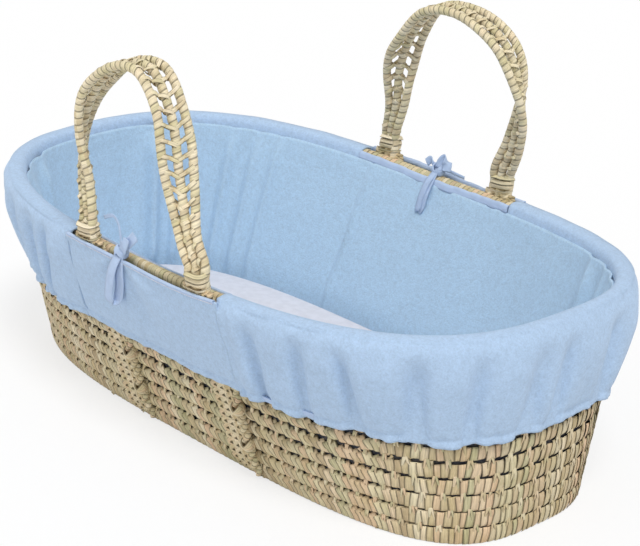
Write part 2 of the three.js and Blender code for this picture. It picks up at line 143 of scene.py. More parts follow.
def superellipse(half_length, half_width, squareness):
    turn = np.linspace(0, 2 * np.pi, OUTLINE_STEPS + 1)
    along = np.sign(np.cos(turn)) * np.abs(np.cos(turn)) ** (2 / squareness)
    across = np.sign(np.sin(turn)) * np.abs(np.sin(turn)) ** (2 / squareness)
    return np.stack([half_length * along, half_width * across * (1 + FOOT_FLARE * along ** 3)], -1)


def outline_normals(half_length, half_width, squareness):
    turn = np.linspace(0, 2 * np.pi, OUTLINE_STEPS + 1)
    power = 2 - 2 / squareness
    x = np.sign(np.cos(turn)) * np.abs(np.cos(turn)) ** power / half_length
    y = np.sign(np.sin(turn)) * np.abs(np.sin(turn)) ** power / half_width
    return unit(np.stack([x, y], -1))


BASE_POINTS = superellipse(*BASE_OUTLINE)
RIM_POINTS = superellipse(*RIM_OUTLINE)
RIM_NORMALS = outline_normals(*RIM_OUTLINE)
MIDDLE = (BASE_POINTS + RIM_POINTS) / 2
ARCS = np.r_[0, np.cumsum(np.linalg.norm(np.diff(MIDDLE, axis=0), axis=1))]
GIRTH = ARCS[-1]


def outline_at(arc, table):
    place = np.interp(np.mod(arc, GIRTH), ARCS, np.arange(len(ARCS)))
    return table_at(table, np.arange(len(ARCS)), place)


def wall(arc, offset, height):
    """A point on the wall: arc from the foot end, offset outwards and height, all in metres."""
    arc, offset, height = np.broadcast_arrays(arc, offset, height)
    rim = outline_at(arc, RIM_POINTS)
    base = outline_at(arc, BASE_POINTS)
    normal = outline_at(arc, RIM_NORMALS)
    flat = base + (rim - base) * (height / WALL_HEIGHT)[..., None] + normal * offset[..., None]
    along = rim[..., 0] / RIM_OUTLINE[0]
    lift = np.where(along > 0, FOOT_LIFT, HEAD_LIFT) * along ** 2
    return np.concatenate([flat, (height * (1 + lift / WALL_HEIGHT))[..., None]], -1)


def arc_of(x, side):
    """The arc where the rim has this x, on the far side (side 1) or the near side (side -1)."""
    half = OUTLINE_STEPS // 2
    place = np.interp(-np.asarray(x), -RIM_POINTS[:half + 1, 0], np.arange(half + 1))
    arc = np.interp(place, np.arange(len(ARCS)), ARCS)
    return arc if side > 0 else GIRTH - arc


def side_share(arc):
    """1 on the long sides, 0 at the two ends."""
    return smoothstep(np.abs(outline_at(arc, RIM_NORMALS)[..., 1]), 0.80, 0.985)


# Meshes


def make_piece(name, points, quads, material, strand=None):
    mesh = bpy.data.meshes.new(name)
    mesh.from_pydata(points.reshape(-1, 3).tolist(), [], quads.reshape(-1, 4).tolist())
    mesh.polygons.foreach_set("use_smooth", [True] * len(mesh.polygons))
    if strand is not None:
        layer = mesh.attributes.new("strand", "FLOAT_VECTOR", "CORNER")
        layer.data.foreach_set("vector", strand.astype(np.float32).ravel())
    mesh.materials.append(material)
    piece = bpy.data.objects.new(name, mesh)
    bpy.context.scene.collection.objects.link(piece)
    return piece


def strands(name, lines, across, out, section, strand, material):
    """Many swept strands in one mesh. lines is (count, steps, 3), section is (..., sides, 2)."""
    count, steps = lines.shape[:2]
    sides = section.shape[-2]
    section = np.broadcast_to(section, (count, steps, sides, 2))
    points = lines[:, :, None] + across[:, :, None] * section[..., :1] + out[:, :, None] * section[..., 1:]
    index = np.arange(count * steps * sides).reshape(count, steps, sides)
    near, far = index[:, :-1], index[:, 1:]
    quads = np.stack([near, np.roll(near, -1, 2), np.roll(far, -1, 2), far], -1).reshape(-1, 4)
    corners = [strand[:, :-1, :-1], strand[:, :-1, 1:], strand[:, 1:, 1:], strand[:, 1:, :-1]]
    values = np.stack(corners, -2).reshape(-1, 4, 3)
    caps, cap_values = [], []
    for low in range(sides // 2 - 1):
        high = sides - 1 - low
        for step, order in ((0, (low, high, high - 1, low + 1)), (-1, (low, low + 1, high - 1, high))):
            caps.append(index[:, step][:, order])
            cap_values.append(strand[:, step][:, order])
    quads = np.concatenate([quads, *caps])
    values = np.concatenate([values, *cap_values])
    turned = np.einsum("...i,...i", np.cross(across[:, :-1], out[:, :-1]), np.diff(lines, axis=1))
    if turned.mean() < 0:
        quads, values = quads[:, ::-1], values[:, ::-1]
    return make_piece(name, points, quads, material, values)


LEAF_SECTION = np.array([(-1, 0), (-0.55, 0.9), (0.55, 0.9), (1, 0), (0.55, -0.9), (-0.55, -0.9)])
LEAF_ACROSS = np.array([0, 0.22, 0.78, 1, 0.78, 0.22, 0])


def leaf_strips(name, lines, across, out, half_width, half_thickness, material):
    """Flat leaf strips with a lens section; strand holds strip number, across and length along."""
    count, steps = lines.shape[:2]
    widths = np.broadcast_to(half_width, (count, steps))
    size = np.stack([widths, np.full((count, steps), half_thickness)], -1)
    section = LEAF_SECTION * size[:, :, None]
    strand = np.zeros((count, steps, 7, 3))
    strand[..., 0] = np.arange(count)[:, None, None] + 0.5
    strand[..., 1] = LEAF_ACROSS
    travelled = np.linalg.norm(np.diff(lines, axis=1), axis=-1).cumsum(1)
    strand[:, 1:, :, 2] = travelled[:, :, None]
    return strands(name, lines, across, out, section, strand, material)


def wrapped_cord(name, line, across, out, radii, wrap_pitch, material, sides=14, groove=0.1):
    """A cord wound with leaf: a ridge runs round it once per wrap."""
    steps = len(line)
    length = lengths_along(line)
    turn = np.arange(sides + 1) / sides
    phase = length[:, None] / wrap_pitch + turn[None]
    ridge = 1 - groove * (1 - np.sin(np.pi * np.mod(phase[:, :-1], 1)) ** 0.6)
    angle = 2 * np.pi * turn[:-1]
    radii = np.broadcast_to(radii, (steps, 2))
    section = np.stack([np.cos(angle) * ridge * radii[:, :1], np.sin(angle) * ridge * radii[:, 1:]], -1)
    strand = np.zeros((1, steps, sides + 1, 3))
    strand[0, ..., 0] = phase
    strand[0, ..., 1] = turn
    strand[0, ..., 2] = np.broadcast_to(turn * 0.03, phase.shape)
    return strands(name, line[None], across[None], out[None], section[None], strand, material)


def sheet_mesh(name, grid, thickness, material, around=False):
    """A closed cloth of this thickness over a grid of points; around joins the last column to the first."""
    if around:
        rolled = np.concatenate([grid[-1:], grid, grid[:1]])
        d_column = (rolled[2:] - rolled[:-2]) / 2
    else:
        d_column = np.gradient(grid, axis=0)
    normal = unit(np.cross(d_column, np.gradient(grid, axis=1)))
    columns, rows = grid.shape[:2]
    points = np.stack([grid + normal * thickness / 2, grid - normal * thickness / 2])
    index = np.arange(points.size // 3).reshape(2, columns, rows)
    if around:
        index = np.concatenate([index, index[:, :1]], 1)
    front, back = index
    quads = [cell_quads(front), cell_quads(back)[:, ::-1]]
    quads += [edge_quads(front[:, 0], back[:, 0]), edge_quads(back[:, -1], front[:, -1])]
    if not around:
        quads += [edge_quads(back[0], front[0]), edge_quads(front[-1], back[-1])]
    return make_piece(name, points, np.concatenate(quads), material)


def cell_quads(index):
    return np.stack([index[:-1, :-1], index[1:, :-1], index[1:, 1:], index[:-1, 1:]], -1).reshape(-1, 4)


def edge_quads(first, second):
    return np.stack([first[:-1], second[:-1], second[1:], first[1:]], -1)


def spline(points, count):
    """Evenly spaced points on a smooth curve through the given ones."""
    points = np.asarray(points, float)
    first, last = 2 * points[0] - points[1], 2 * points[-1] - points[-2]
    padded = np.vstack([first, points, last])
    pieces = []
    for p0, p1, p2, p3 in zip(padded, padded[1:], padded[2:], padded[3:]):
        k1, k2, k3 = [max(np.linalg.norm(b - a), 1e-6) ** 0.5 for a, b in ((p0, p1), (p1, p2), (p2, p3))]
        start = ((p1 - p0) / k1 - (p2 - p0) / (k1 + k2) + (p2 - p1) / k2) * k2
        end = ((p2 - p1) / k2 - (p3 - p1) / (k2 + k3) + (p3 - p2) / k3) * k2
        t = np.linspace(0, 1, 40, endpoint=False)[:, None]
        pieces.append((2 * t ** 3 - 3 * t ** 2 + 1) * p1 + (t ** 3 - 2 * t ** 2 + t) * start
                      + (3 * t ** 2 - 2 * t ** 3) * p2 + (t ** 3 - t ** 2) * end)
    dense = np.vstack([*pieces, points[-1:]])
    length = lengths_along(dense)
    return table_at(dense, length, np.linspace(0, length[-1], count))


# Materials


def node(tree, kind, settings=None, **inputs):
    made = tree.nodes.new(kind)
    for key, value in (settings or {}).items():
        setattr(made, key, value)
    for key, value in inputs.items():
        socket = made.inputs[int(key[1:])] if key[0] == "i" and key[1:].isdigit() else made.inputs[key]
        if isinstance(value, bpy.types.NodeSocket):
            tree.links.new(value, socket)
        else:
            socket.default_value = value
    return made


def maths(tree, operation, first, second=0.0):
    return node(tree, "ShaderNodeMath", {"operation": operation}, i0=first, i1=second).outputs[0]


def fit_range(tree, value, low, high, new_low=0.0, new_high=1.0):
    settings = {"interpolation_type": "SMOOTHSTEP"}
    made = node(tree, "ShaderNodeMapRange", settings, i0=value, i1=low, i2=high, i3=new_low, i4=new_high)
    return made.outputs[0]


def colour_ramp(tree, value, stops):
    ramp = node(tree, "ShaderNodeValToRGB", Fac=value)
    elements = ramp.color_ramp.elements
    elements[0].position, elements[0].color = stops[0][0], linear(stops[0][1])
    elements[1].position, elements[1].color = stops[-1][0], linear(stops[-1][1])
    for place, colour in stops[1:-1]:
        elements.new(place).color = linear(colour)
    return ramp.outputs[0]


def linear(colour):
    """A shader colour for a screen colour given in 0 to 255."""
    return tuple((value / 255) ** 2.2 for value in colour) + (1,)


def shade(tree, colour, brightness):
    """The colour times a grey value."""
    settings = {"data_type": "RGBA", "blend_type": "MULTIPLY"}
    return node(tree, "ShaderNodeMix", settings, i0=1.0, i6=colour, i7=brightness).outputs[2]


def grey(tree, value):
    return node(tree, "ShaderNodeCombineColor", i0=value, i1=value, i2=value).outputs[0]


def turned_place(tree, rotation):
    place = node(tree, "ShaderNodeTexCoord").outputs["Object"]
    return node(tree, "ShaderNodeMapping", Vector=place, Rotation=rotation).outputs[0]


def stripes(tree, place, axes, scale, distortion=0.0):
    """Striped waves across each of the axes."""
    made = [node(tree, "ShaderNodeTexWave", {"bands_direction": axis}, Vector=place) for axis in axes]
    for wave in made:
        wave.inputs["Scale"].default_value = scale
        wave.inputs["Distortion"].default_value = distortion
    return [wave.outputs[1] for wave in made]


def blend_colours(tree, share, first, second):
    return node(tree, "ShaderNodeMix", {"data_type": "RGBA"}, i0=share, i6=first, i7=second).outputs[2]


def new_material(name, roughness, specular=0.3, sheen=0.0):
    made = bpy.data.materials.new(name)
    made.use_nodes = True
    tree = made.node_tree
    shader = tree.nodes["Principled BSDF"]
    shader.inputs["Roughness"].default_value = roughness
    shader.inputs["Specular IOR Level"].default_value = specular
    shader.inputs["Sheen Weight"].default_value = sheen
    shader.inputs["Sheen Roughness"].default_value = 0.5
    return made, tree, shader


def finish_material(tree, shader, colour, height, depth, strength=0.6):
    tree.links.new(colour, shader.inputs["Base Color"])
    bump = node(tree, "ShaderNodeBump", Height=height, Strength=strength, Distance=depth)
    tree.links.new(bump.outputs[0], shader.inputs["Normal"])


def object_noise(tree, scale, detail=2.0, roughness=0.5, stretch=None):
    place = node(tree, "ShaderNodeTexCoord").outputs["Object"]
    if stretch:
        place = node(tree, "ShaderNodeMapping", Vector=place, Scale=stretch).outputs[0]
    noise = node(tree, "ShaderNodeTexNoise", Vector=place, Scale=scale, Detail=detail, Roughness=roughness)
    return noise.outputs[0]


LEAF_COLOURS = [
    (0.0, (202, 182, 142)), (0.25, (220, 206, 170)), (0.45, (196, 188, 150)),
    (0.65, (222, 192, 158)), (0.85, (232, 220, 188)), (1.0, (186, 164, 128)),
]
STRAP_COLOURS = [
    (0.0, (222, 204, 168)), (0.3, (240, 226, 194)), (0.55, (218, 206, 166)),
    (0.8, (246, 232, 202)), (1.0, (214, 192, 154)),
]


def leaf_material(name, colours, wound):
    """Dried leaf: every strip has its own tone, with fibres along it, and painted shade darkens its edges.
    """
    made, tree, shader = new_material(name, 0.62, 0.25)
    strand = node(tree, "ShaderNodeAttribute", {"attribute_name": "strand"}).outputs["Vector"]
    parts = node(tree, "ShaderNodeSeparateXYZ", Vector=strand).outputs
    number = maths(tree, "FLOOR", parts[0])
    across = maths(tree, "FRACT", parts[0]) if wound else parts[1]
    tone = node(tree, "ShaderNodeTexWhiteNoise", {"noise_dimensions": "1D"}, W=number).outputs["Value"]
    spread = maths(tree, "MULTIPLY", across, 9.0)
    shifted = maths(tree, "ADD", spread, maths(tree, "MULTIPLY", number, 3.7))
    length = maths(tree, "MULTIPLY", parts[2], 40.0)
    fibre_place = node(tree, "ShaderNodeCombineXYZ", X=shifted, Y=length, Z=tone).outputs[0]
    noise = node(tree, "ShaderNodeTexNoise", Vector=fibre_place, Scale=1.0, Detail=4.0, Roughness=0.65)
    fibres = noise.outputs[0]
    from_middle = maths(tree, "ABSOLUTE", maths(tree, "SUBTRACT", across, 0.5))
    inner = fit_range(tree, from_middle, 0.5, 0.3, 0.0, 1.0)
    patches = object_noise(tree, 38.0, 3.0)
    colour = colour_ramp(tree, tone, colours)
    yellowed = node(tree, "ShaderNodeCombineColor", i0=0.86, i1=0.86, i2=0.78).outputs[0]
    weathered = shade(tree, colour, yellowed)
    colour = blend_colours(tree, fit_range(tree, patches, 0.42, 0.72), colour, weathered)
    fibre_light = fit_range(tree, fibres, 0.25, 0.7, 0.70, 1.10)
    # Painted shade: brightness falls to 0.42 towards the edges of each strip, or of each wrap on a wound
    # cord.
    light = maths(tree, "MULTIPLY", fibre_light, fit_range(tree, inner, 0, 1, 0.42, 1.0))
    height = maths(tree, "ADD", maths(tree, "MULTIPLY", fibres, 0.6), inner)
    finish_material(tree, shader, shade(tree, colour, grey(tree, light)), height, 0.0006)
    return made


def fleece_material(name, colour):
    made, tree, shader = new_material(name, 0.95, 0.1, 0.25)
    shader.inputs["Sheen Tint"].default_value = (0.85, 0.92, 1.0, 1.0)
    pile = object_noise(tree, 420.0, 3.0, 0.75)
    tufts = object_noise(tree, 150.0, 3.0, 0.7)
    mottle = maths(tree, "ADD", maths(tree, "MULTIPLY", pile, 0.6), maths(tree, "MULTIPLY", tufts, 0.4))
    dark = linear([value * 0.93 for value in colour])
    pale = linear([min(value * 1.03, 255) for value in colour])
    mixed = blend_colours(tree, fit_range(tree, mottle, 0.3, 0.68), dark, pale)
    finish_material(tree, shader, mixed, mottle, 0.0025, 0.6)
    return made


def woven_material(name, colour, threads, depth, contrast=0.9):
    """Plain woven cloth: crossing threads with a little unevenness."""
    made, tree, shader = new_material(name, 0.85, 0.15, 0.1)
    waves_x, waves_y, waves_z = stripes(tree, turned_place(tree, (0.5, 0.4, 0.8)), "XYZ", threads, 1.5)
    crossed = maths(tree, "MULTIPLY", waves_x, waves_y)
    weave = maths(tree, "ADD", crossed, maths(tree, "MULTIPLY", waves_z, 0.5))
    uneven = object_noise(tree, 90.0, 3.0)
    dark = linear([value * contrast for value in colour])
    # Painted shade: the colour is a little darker where the weave is low, between the threads.
    mixed = blend_colours(tree, maths(tree, "MULTIPLY", weave, 0.66), dark, linear(colour))
    soft = fit_range(tree, uneven, 0.3, 0.7, 0.95, 1.03)
    finish_material(tree, shader, shade(tree, mixed, grey(tree, soft)), weave, depth, 0.5)
    return made


def shadowed_leaf_material(name, dark, pale):
    """Painted shade: a dark slate leaf core, coloured as the shade in the gaps of the plait, where it shows
    between the strips.
    """
    made, tree, shader = new_material(name, 0.9, 0.1)
    streaks = object_noise(tree, 160.0, 4.0, 0.6, (1.0, 1.0, 0.15))
    mixed = blend_colours(tree, fit_range(tree, streaks, 0.35, 0.75), linear(dark), linear(pale))
    finish_material(tree, shader, mixed, streaks, 0.001)
    return made


def plaited_material(name):
    """The flat plaited base, seen from below."""
    made, tree, shader = new_material(name, 0.7, 0.2)
    turned = turned_place(tree, (0, 0, 0.78))
    checks = node(tree, "ShaderNodeTexChecker", Vector=turned, Scale=90.0).outputs["Fac"]
    one_way, other_way = stripes(tree, turned, "XY", 14.0)
    fibres = object_noise(tree, 240.0, 4.0, 0.6)
    plait = node(tree, "ShaderNodeMix", {"data_type": "FLOAT"}, i0=checks, i2=one_way, i3=other_way)
    height = maths(tree, "ADD", plait.outputs[0], maths(tree, "MULTIPLY", fibres, 0.4))
    # Painted shade: the colour follows the plait's height and darkens to brown in the low hollows between
    # the strips.
    tones = [(0.0, (120, 102, 70)), (0.5, (196, 178, 136)), (1.0, (222, 208, 170))]
    colour = colour_ramp(tree, maths(tree, "MULTIPLY", height, 0.7), tones)
    finish_material(tree, shader, colour, height, 0.0015)
    return made


def foam_material(name):
    made, tree, shader = new_material(name, 0.95, 0.1)
    place = node(tree, "ShaderNodeTexCoord").outputs["Object"]
    cells = node(tree, "ShaderNodeTexVoronoi", Vector=place, Scale=450.0).outputs["Distance"]
    # Painted shade: the colour follows the same cells as the bumps and is darker in their pits.
    tones = [(0.0, (205, 196, 150)), (0.6, (236, 230, 196)), (1.0, (244, 240, 214))]
    colour = colour_ramp(tree, cells, tones)
    finish_material(tree, shader, colour, cells, 0.0008)
    return made


LEAF = leaf_material("palm leaf strips", LEAF_COLOURS, False)
STRAP_LEAF = leaf_material("strap lacing leaf", STRAP_COLOURS, False)
WOUND_LEAF = leaf_material("leaf-wound cord", STRAP_COLOURS, True)
SLING_CORD = leaf_material("leaf-wound sling cord", LEAF_COLOURS, True)
# The valance and the lining are one fleece in two copies; the lining's copy is painted a little lighter,
# which is painted light.
FLEECE_BLUE = fleece_material("pale blue fleece", (176, 200, 228))
FLEECE_LINING_LIGHTER = fleece_material("pale blue fleece lining", (182, 210, 234))
TAPE = woven_material("blue cotton tape", (184, 204, 234), 260.0, 0.0003, 0.95)
COTTON = woven_material("white cotton cover", (222, 222, 230), 420.0, 0.0002, 0.95)
# Painted shade for the gaps between the plaited rows.
PAINTED_SHADE_CORE = shadowed_leaf_material("shadowed leaf core", (58, 62, 72), (98, 94, 90))
PLAIT = plaited_material("plaited leaf base")
FOAM = foam_material("mattress foam")


def dress(node_name, material):
    """Give a CAD node that stays in view its material."""
    body = bpy.data.objects[node_name]
    if not body.material_slots:
        body.data.materials.append(material)
    for slot in body.material_slots:
        slot.material = material


# The plaited wall

STRIPS_PER_ROW = 236
STRIP_POINTS = 10
STRIP_TILT = 0.13
BOTTOM_PATH = [(6.4, 0.4), (7.4, 2.6), (8.2, 6.0), (8.6, 11.0), (8.3, 16.0), (6.8, 20.0)]
DASH_PITCH = 0.0225
SHOWN_ROWS = 8
HEM_ROW = 6


def gap_height(level):
    """Height of the gaps in the joint above a row, where the painted shade shows as dark dashes: wide under
    the hem, narrow near the base.
    """
    return (2.4 + 3.4 * smoothstep(level, 1, 5)) * MM


# How far the dashes of each row stand off from those of the row below, as a share of their pitch.
DASH_SHIFT = 0.37


def dash_shape(arc, level):
    """0 at a stitch, 1 in the middle of a dash."""
    return np.abs(np.sin(np.pi * (arc / DASH_PITCH + DASH_SHIFT * level))) ** 0.7


def row_strips(level):
    pitch = GIRTH / STRIPS_PER_ROW
    count = STRIPS_PER_ROW
    number = np.arange(count)[:, None]
    start = (number + 0.5 * (level % 2) + random.uniform(-0.16, 0.16, (count, 1))) * pitch
    up = np.linspace(0, 1, STRIP_POINTS)[None]
    share = side_share(start)
    ends_slant = random.uniform(-0.14, 0.18, (count, 1))
    slant = ends_slant * (1 - share) + random.uniform(-0.34, -0.16, (count, 1)) * share
    curl = 0.14 * share * np.sin(np.pi * up)
    arc = start + (slant * (up - 0.5) + curl) * ROW_PITCH
    wider = 1 + 0.5 * share
    low_gap = wider * gap_height(level - 1) / 2 * dash_shape(arc, level - 1)
    high_gap = wider * gap_height(level) / 2 * dash_shape(arc, level)
    bottom, top = level * ROW_PITCH + low_gap, (level + 1) * ROW_PITCH - high_gap
    height = bottom + (top - bottom) * up
    bulge = (1.7 + 2.1 * share) * MM * (0.4 if level >= HEM_ROW else 1.0)
    offset = HALF_WALL + 1.0 * MM + bulge * np.sin(np.pi * up) ** (0.45 + 0.2 * share)
    offset = offset + random.uniform(-0.25, 0.25, (count, 1)) * MM
    if level == 0:
        offset, height = bottom_edge(up, height)
    width = (6.6 - 0.7 * share) * MM * (0.95 + 0.05 * np.sin(np.pi * up))
    width = width * random.uniform(0.92, 1.05, (count, 1))
    return arc, offset, height, width


def bottom_edge(up, height):
    """The lowest strips roll under the wall to the floor."""
    path = spline([(offset * MM, rise * MM) for offset, rise in BOTTOM_PATH], STRIP_POINTS)
    offset, rise = path[:, 0][None], path[:, 1][None]
    share = smoothstep(up, 0.6, 1.0)
    return offset + 0 * height, rise + (height - rise) * share


def on_wall_frames(arc, offset, height):
    lines = wall(arc, offset, height)
    travel = unit(np.gradient(lines, axis=1))
    around = unit(wall(arc + MM, offset, height) - wall(arc - MM, offset, height))
    out = unit(np.cross(travel, around))
    outline = outline_at(arc, RIM_NORMALS)
    flip = np.sign(out[..., 0] * outline[..., 0] + out[..., 1] * outline[..., 1])
    out = out * np.where(flip == 0, 1, flip)[..., None]
    return lines, np.cross(out, travel), out


def wall_leaves(kind, level, arc, offset, height, width, thickness):
    lines, across, out = on_wall_frames(arc, offset, height)
    name = f"leaf_{kind}_{level + 1:02d}"
    return leaf_strips(name, lines, across, out, width, thickness, LEAF)


def plait_row(level):
    arc, offset, height, width = row_strips(level)
    lines, across, out = on_wall_frames(arc, offset, height)
    across = unit(across + STRIP_TILT * out)
    name = f"leaf_row_{level + 1:02d}"
    return leaf_strips(name, lines, across, out, width, 0.55 * MM, LEAF)


def row_stitches(level):
    """Narrow strips that cross the joint above a row and spread down over the row as a wedge."""
    count = int(GIRTH / DASH_PITCH)
    start = ((np.arange(count)[:, None] - DASH_SHIFT * level) * DASH_PITCH) % GIRTH
    start = np.concatenate([start, start])
    leg = np.repeat([-1.0, 1.0], count)[:, None]
    share = side_share(start)
    down = np.linspace(0, 1, 9)[None]
    reach = (18.0 - 8.0 * share) * MM * random.uniform(0.6, 1.05, start.shape)
    spread = (3.4 * leg * (1 - share) - 3.5 * share) * MM * random.uniform(0.4, 1.3, start.shape)
    arc = start + leg * 0.8 * MM + down * spread
    height = (level + 1) * ROW_PITCH + (4.4 - 1.4 * share) * MM - down * reach
    height = np.maximum(height, 1.4 * MM)
    lifted = np.sin(np.pi * np.clip(down * 1.25 - 0.12, 0, 1))
    offset = HALF_WALL + (2.6 + 0.9 * lifted + 0.9 * share) * MM
    width = (2.1 - 1.3 * down) * MM * random.uniform(0.75, 1.25, start.shape)
    return wall_leaves("stitches", level, arc, offset, height, width, 0.5 * MM)


def row_tufts(level):
    """Cut leaf ends that stand a little proud of the joints."""
    count = 22 if level >= 0 else 9
    start = random.uniform(0, GIRTH, (count, 1))
    up = np.linspace(0, 1, 5)[None]
    lean = random.uniform(-0.9, 0.9, (count, 1))
    reach = random.uniform(4.0, 7.0, (count, 1)) * MM
    arc = start + up * reach * lean
    height = np.maximum((level + 1) * ROW_PITCH + 2 * MM - up * reach, 1.5 * MM)
    offset = HALF_WALL + (2.4 + 1.3 * up) * MM
    return wall_leaves("tufts", level, arc, offset, height, 2.3 * MM * (1.05 - up), 0.45 * MM)


# A wrap over the rim, as (offset, height) in millimetres, from the outside to the inside.
RIM_WRAP = [
    (6.0, 223.0), (7.6, 231.0), (6.6, 240.0), (3.2, 244.2), (-2.0, 244.6), (-5.6, 241.0), (-6.3, 236.5),
]


def slot_ends(side, reach):
    """Both ends, as distances round the rim, of a side's stretch from -reach to reach along x."""
    return sorted(float(arc_of(x, side)) for x in (-reach, reach))


def rim_wraps(side):
    """Slanted wraps over the rim coil, where the liner is open round the straps."""
    name = "leaf_rim_near" if side < 0 else "leaf_rim_far"
    ends = slot_ends(side, SLOT_HALF_LENGTH + 0.02)
    count = int((ends[1] - ends[0]) / 0.0078)
    start = np.linspace(*ends, count)[:, None]
    path = spline([(offset * MM, height * MM) for offset, height in RIM_WRAP], 12)
    arc = start + np.linspace(-3.5, 3.5, 12)[None] * MM
    offset = np.broadcast_to(path[None, :, 0], arc.shape)
    height = np.broadcast_to(path[None, :, 1], arc.shape)
    lines = wall(arc, offset, height)
    travel = unit(np.gradient(lines, axis=1))
    around = unit(wall(arc + MM, offset, height) - wall(arc - MM, offset, height))
    out = unit(np.cross(around, travel))
    across = np.cross(out, travel)
    width = 4.3 * MM * random.uniform(0.9, 1.08, (count, 1))
    return leaf_strips(name, lines, across, out, width, 0.6 * MM, LEAF)


def build_wall():
    # The wall rows and rim coil under the leaf strips carry the painted shade that shows in the gaps.
    for level in range(ROW_COUNT - 1):
        dress(f"wall_row_{level + 1:02d}", PAINTED_SHADE_CORE)
    dress("rim_coil", PAINTED_SHADE_CORE)
    dress("base_panel", PLAIT)
    pieces = [plait_row(level) for level in range(SHOWN_ROWS)]
    pieces += [row_stitches(level) for level in range(SHOWN_ROWS - 1)]
    pieces += [row_tufts(level) for level in range(-1, SHOWN_ROWS - 1)]
    pieces += [rim_wraps(side) for side in (-1, 1)]
    for piece in pieces:
        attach(piece, "basket")


# The slings under the basket

joints = {joint["name"]: joint for joint in frame["joints"]}


def joint_place(name):
    return Vector(joints[name]["pos_m"])


HINGE_Y = joint_place("far_handle_fold").y
HINGE_Z = joint_place("far_handle_fold").z
STRAP_STEP = 1.1 * MM


def sling_face(height):
    """How far from the middle the inner face of a sling stands at this height."""
    level = outline_half_width(BASE_POINTS), outline_half_width(RIM_POINTS)
    return level[0] + (level[1] - level[0]) * height / WALL_HEIGHT + HALF_WALL + 0.3 * MM


def outline_half_width(table):
    half = OUTLINE_STEPS // 2
    inner_edge = STRAP_X - STRAP_SKEW - STRAP_WIDTH / 2
    return float(np.interp(-inner_edge, -table[:half + 1, 0], table[:half + 1, 1]))


def sling_path():
    """The middle of a sling's thickness in (y, z), from the near top, under the base, to the far top."""
    middle = SLING_THICKNESS / 2
    top, under = HINGE_Z - 7 * MM, sling_face(0.0)
    half = [(sling_face(z) + middle, z) for z in (top, 0.18, 0.12, 0.06, 0.024)]
    half += [(under + 1.5 * MM, 9.0 * MM), (under - 5 * MM, middle), (0.08, middle), (0.03, middle)]
    points = [(-y, z) for y, z in half] + [(y, z) for y, z in reversed(half)]
    return spline(points, int(2 * (top + under) / STRAP_STEP))


def sling_lines(x):
    path = sling_path()
    line = np.stack([x - STRAP_SKEW * path[:, 0] / HINGE_Y, path[:, 0], path[:, 1]], -1)
    travel = unit(np.gradient(line, axis=0))
    across = np.broadcast_to((1.0, 0.0, 0.0), line.shape)
    out = unit(np.cross(across, travel))
    return line, across, -out


# Where the cords of a sling run, in millimetres from its middle towards the foot end.
SLING_CORDS = (-17.5, -6.5, 4.5)
EDGE_CORD = 18.5


def sling_cords(label, line, across, out):
    pieces = []
    for index, spot in enumerate(SLING_CORDS):
        middle = line + across * spot * MM
        name = f"{label}_cord_{'abc'[index]}"
        radii = (6.4 * MM, 3.6 * MM)
        pieces.append(wrapped_cord(name, middle, across, out, radii, 6.5 * MM,
                                   SLING_CORD, 12, 0.2))
    return pieces


def sling_edge(label, line, across, out):
    """Two strands twisted into the thick cord along the foot side of a sling."""
    length = lengths_along(line)
    free = 1 - smoothstep(line[:, 2:], 0.098, 0.122)
    pieces = []
    for index in range(2):
        turn = 2 * np.pi * length / 0.026 + np.pi * index
        sideways = across * (np.cos(turn) * 3.3 * MM)[:, None]
        outwards = out * (np.sin(turn) * 2.6 * MM)[:, None] * (0.3 + 0.7 * free)
        middle = line + across * EDGE_CORD * MM + out * 3.0 * MM * free + (sideways + outwards)
        radii = (4.4 * MM, 3.9 * MM)
        name = f"{label}_edge_{'ab'[index]}"
        pieces.append(wrapped_cord(name, middle, across, out, radii, 5.5 * MM,
                                   SLING_CORD, 10, 0.16))
    return pieces


def zigzag(line, across, out, low, high, pitch, phase, lift):
    """A lace that swings between two cords, standing lift outside the strap's middle."""
    length = lengths_along(line)
    swing = np.abs(2 * np.mod(length / pitch + phase, 1) - 1)
    share = smoothstep(swing, 0.08, 0.92)
    spot = low + (high - low) * share
    dip = 1 - 0.42 * np.sin(np.pi * share) ** 2
    return line + across * spot[:, None] + out * (lift * dip)[:, None]


def lace_ribbons(name, paths, out, half_width):
    lines = np.stack(paths)
    travel = unit(np.gradient(lines, axis=1))
    out = square_to(out, travel)
    return leaf_strips(name, lines, np.cross(out, travel), out, half_width, 0.8 * MM, LEAF)


def sling_lacing(label, line, across, out):
    spots = (*SLING_CORDS, EDGE_CORD - 4)
    paths = [
        zigzag(line, across, out, low * MM, high * MM, 0.021, phase, 4.6 * MM)
        for low, high in zip(spots, spots[1:]) for phase in (0.0, 0.5)
    ]
    return lace_ribbons(f"{label}_lacing", paths, np.broadcast_to(out, (len(paths), *out.shape)), 3.0 * MM)


def wound_strips(name, lines, middle, width, thickness, material):
    """Strips along rings that face away from the middle they are wound round."""
    travel = unit(np.gradient(lines, axis=1))
    away = square_to(unit(lines - middle), travel)
    return leaf_strips(name, lines, np.cross(away, travel), away, width, thickness, material)


def cord_knot(name, middle, across, out, travel, size, material, slot):
    """A small knot: three bands wound over one another."""
    turns = np.linspace(0, 2 * np.pi, 40)[:, None]
    rings = []
    for tilt in (0.0, 0.6, -0.6):
        ring_up = travel * math.cos(tilt) + across * math.sin(tilt)
        ring_side = across * math.cos(tilt) - travel * math.sin(tilt)
        ring = np.cos(turns) * ring_side + 0.75 * np.sin(turns) * out
        rings.append(middle + size * ring + 0.35 * size * np.sin(turns) * ring_up)
    return wound_strips(name, np.stack(rings), middle, size * 0.42, size * 0.16, material)


SLING_KNOT_HEIGHTS = (0.100, 0.050)


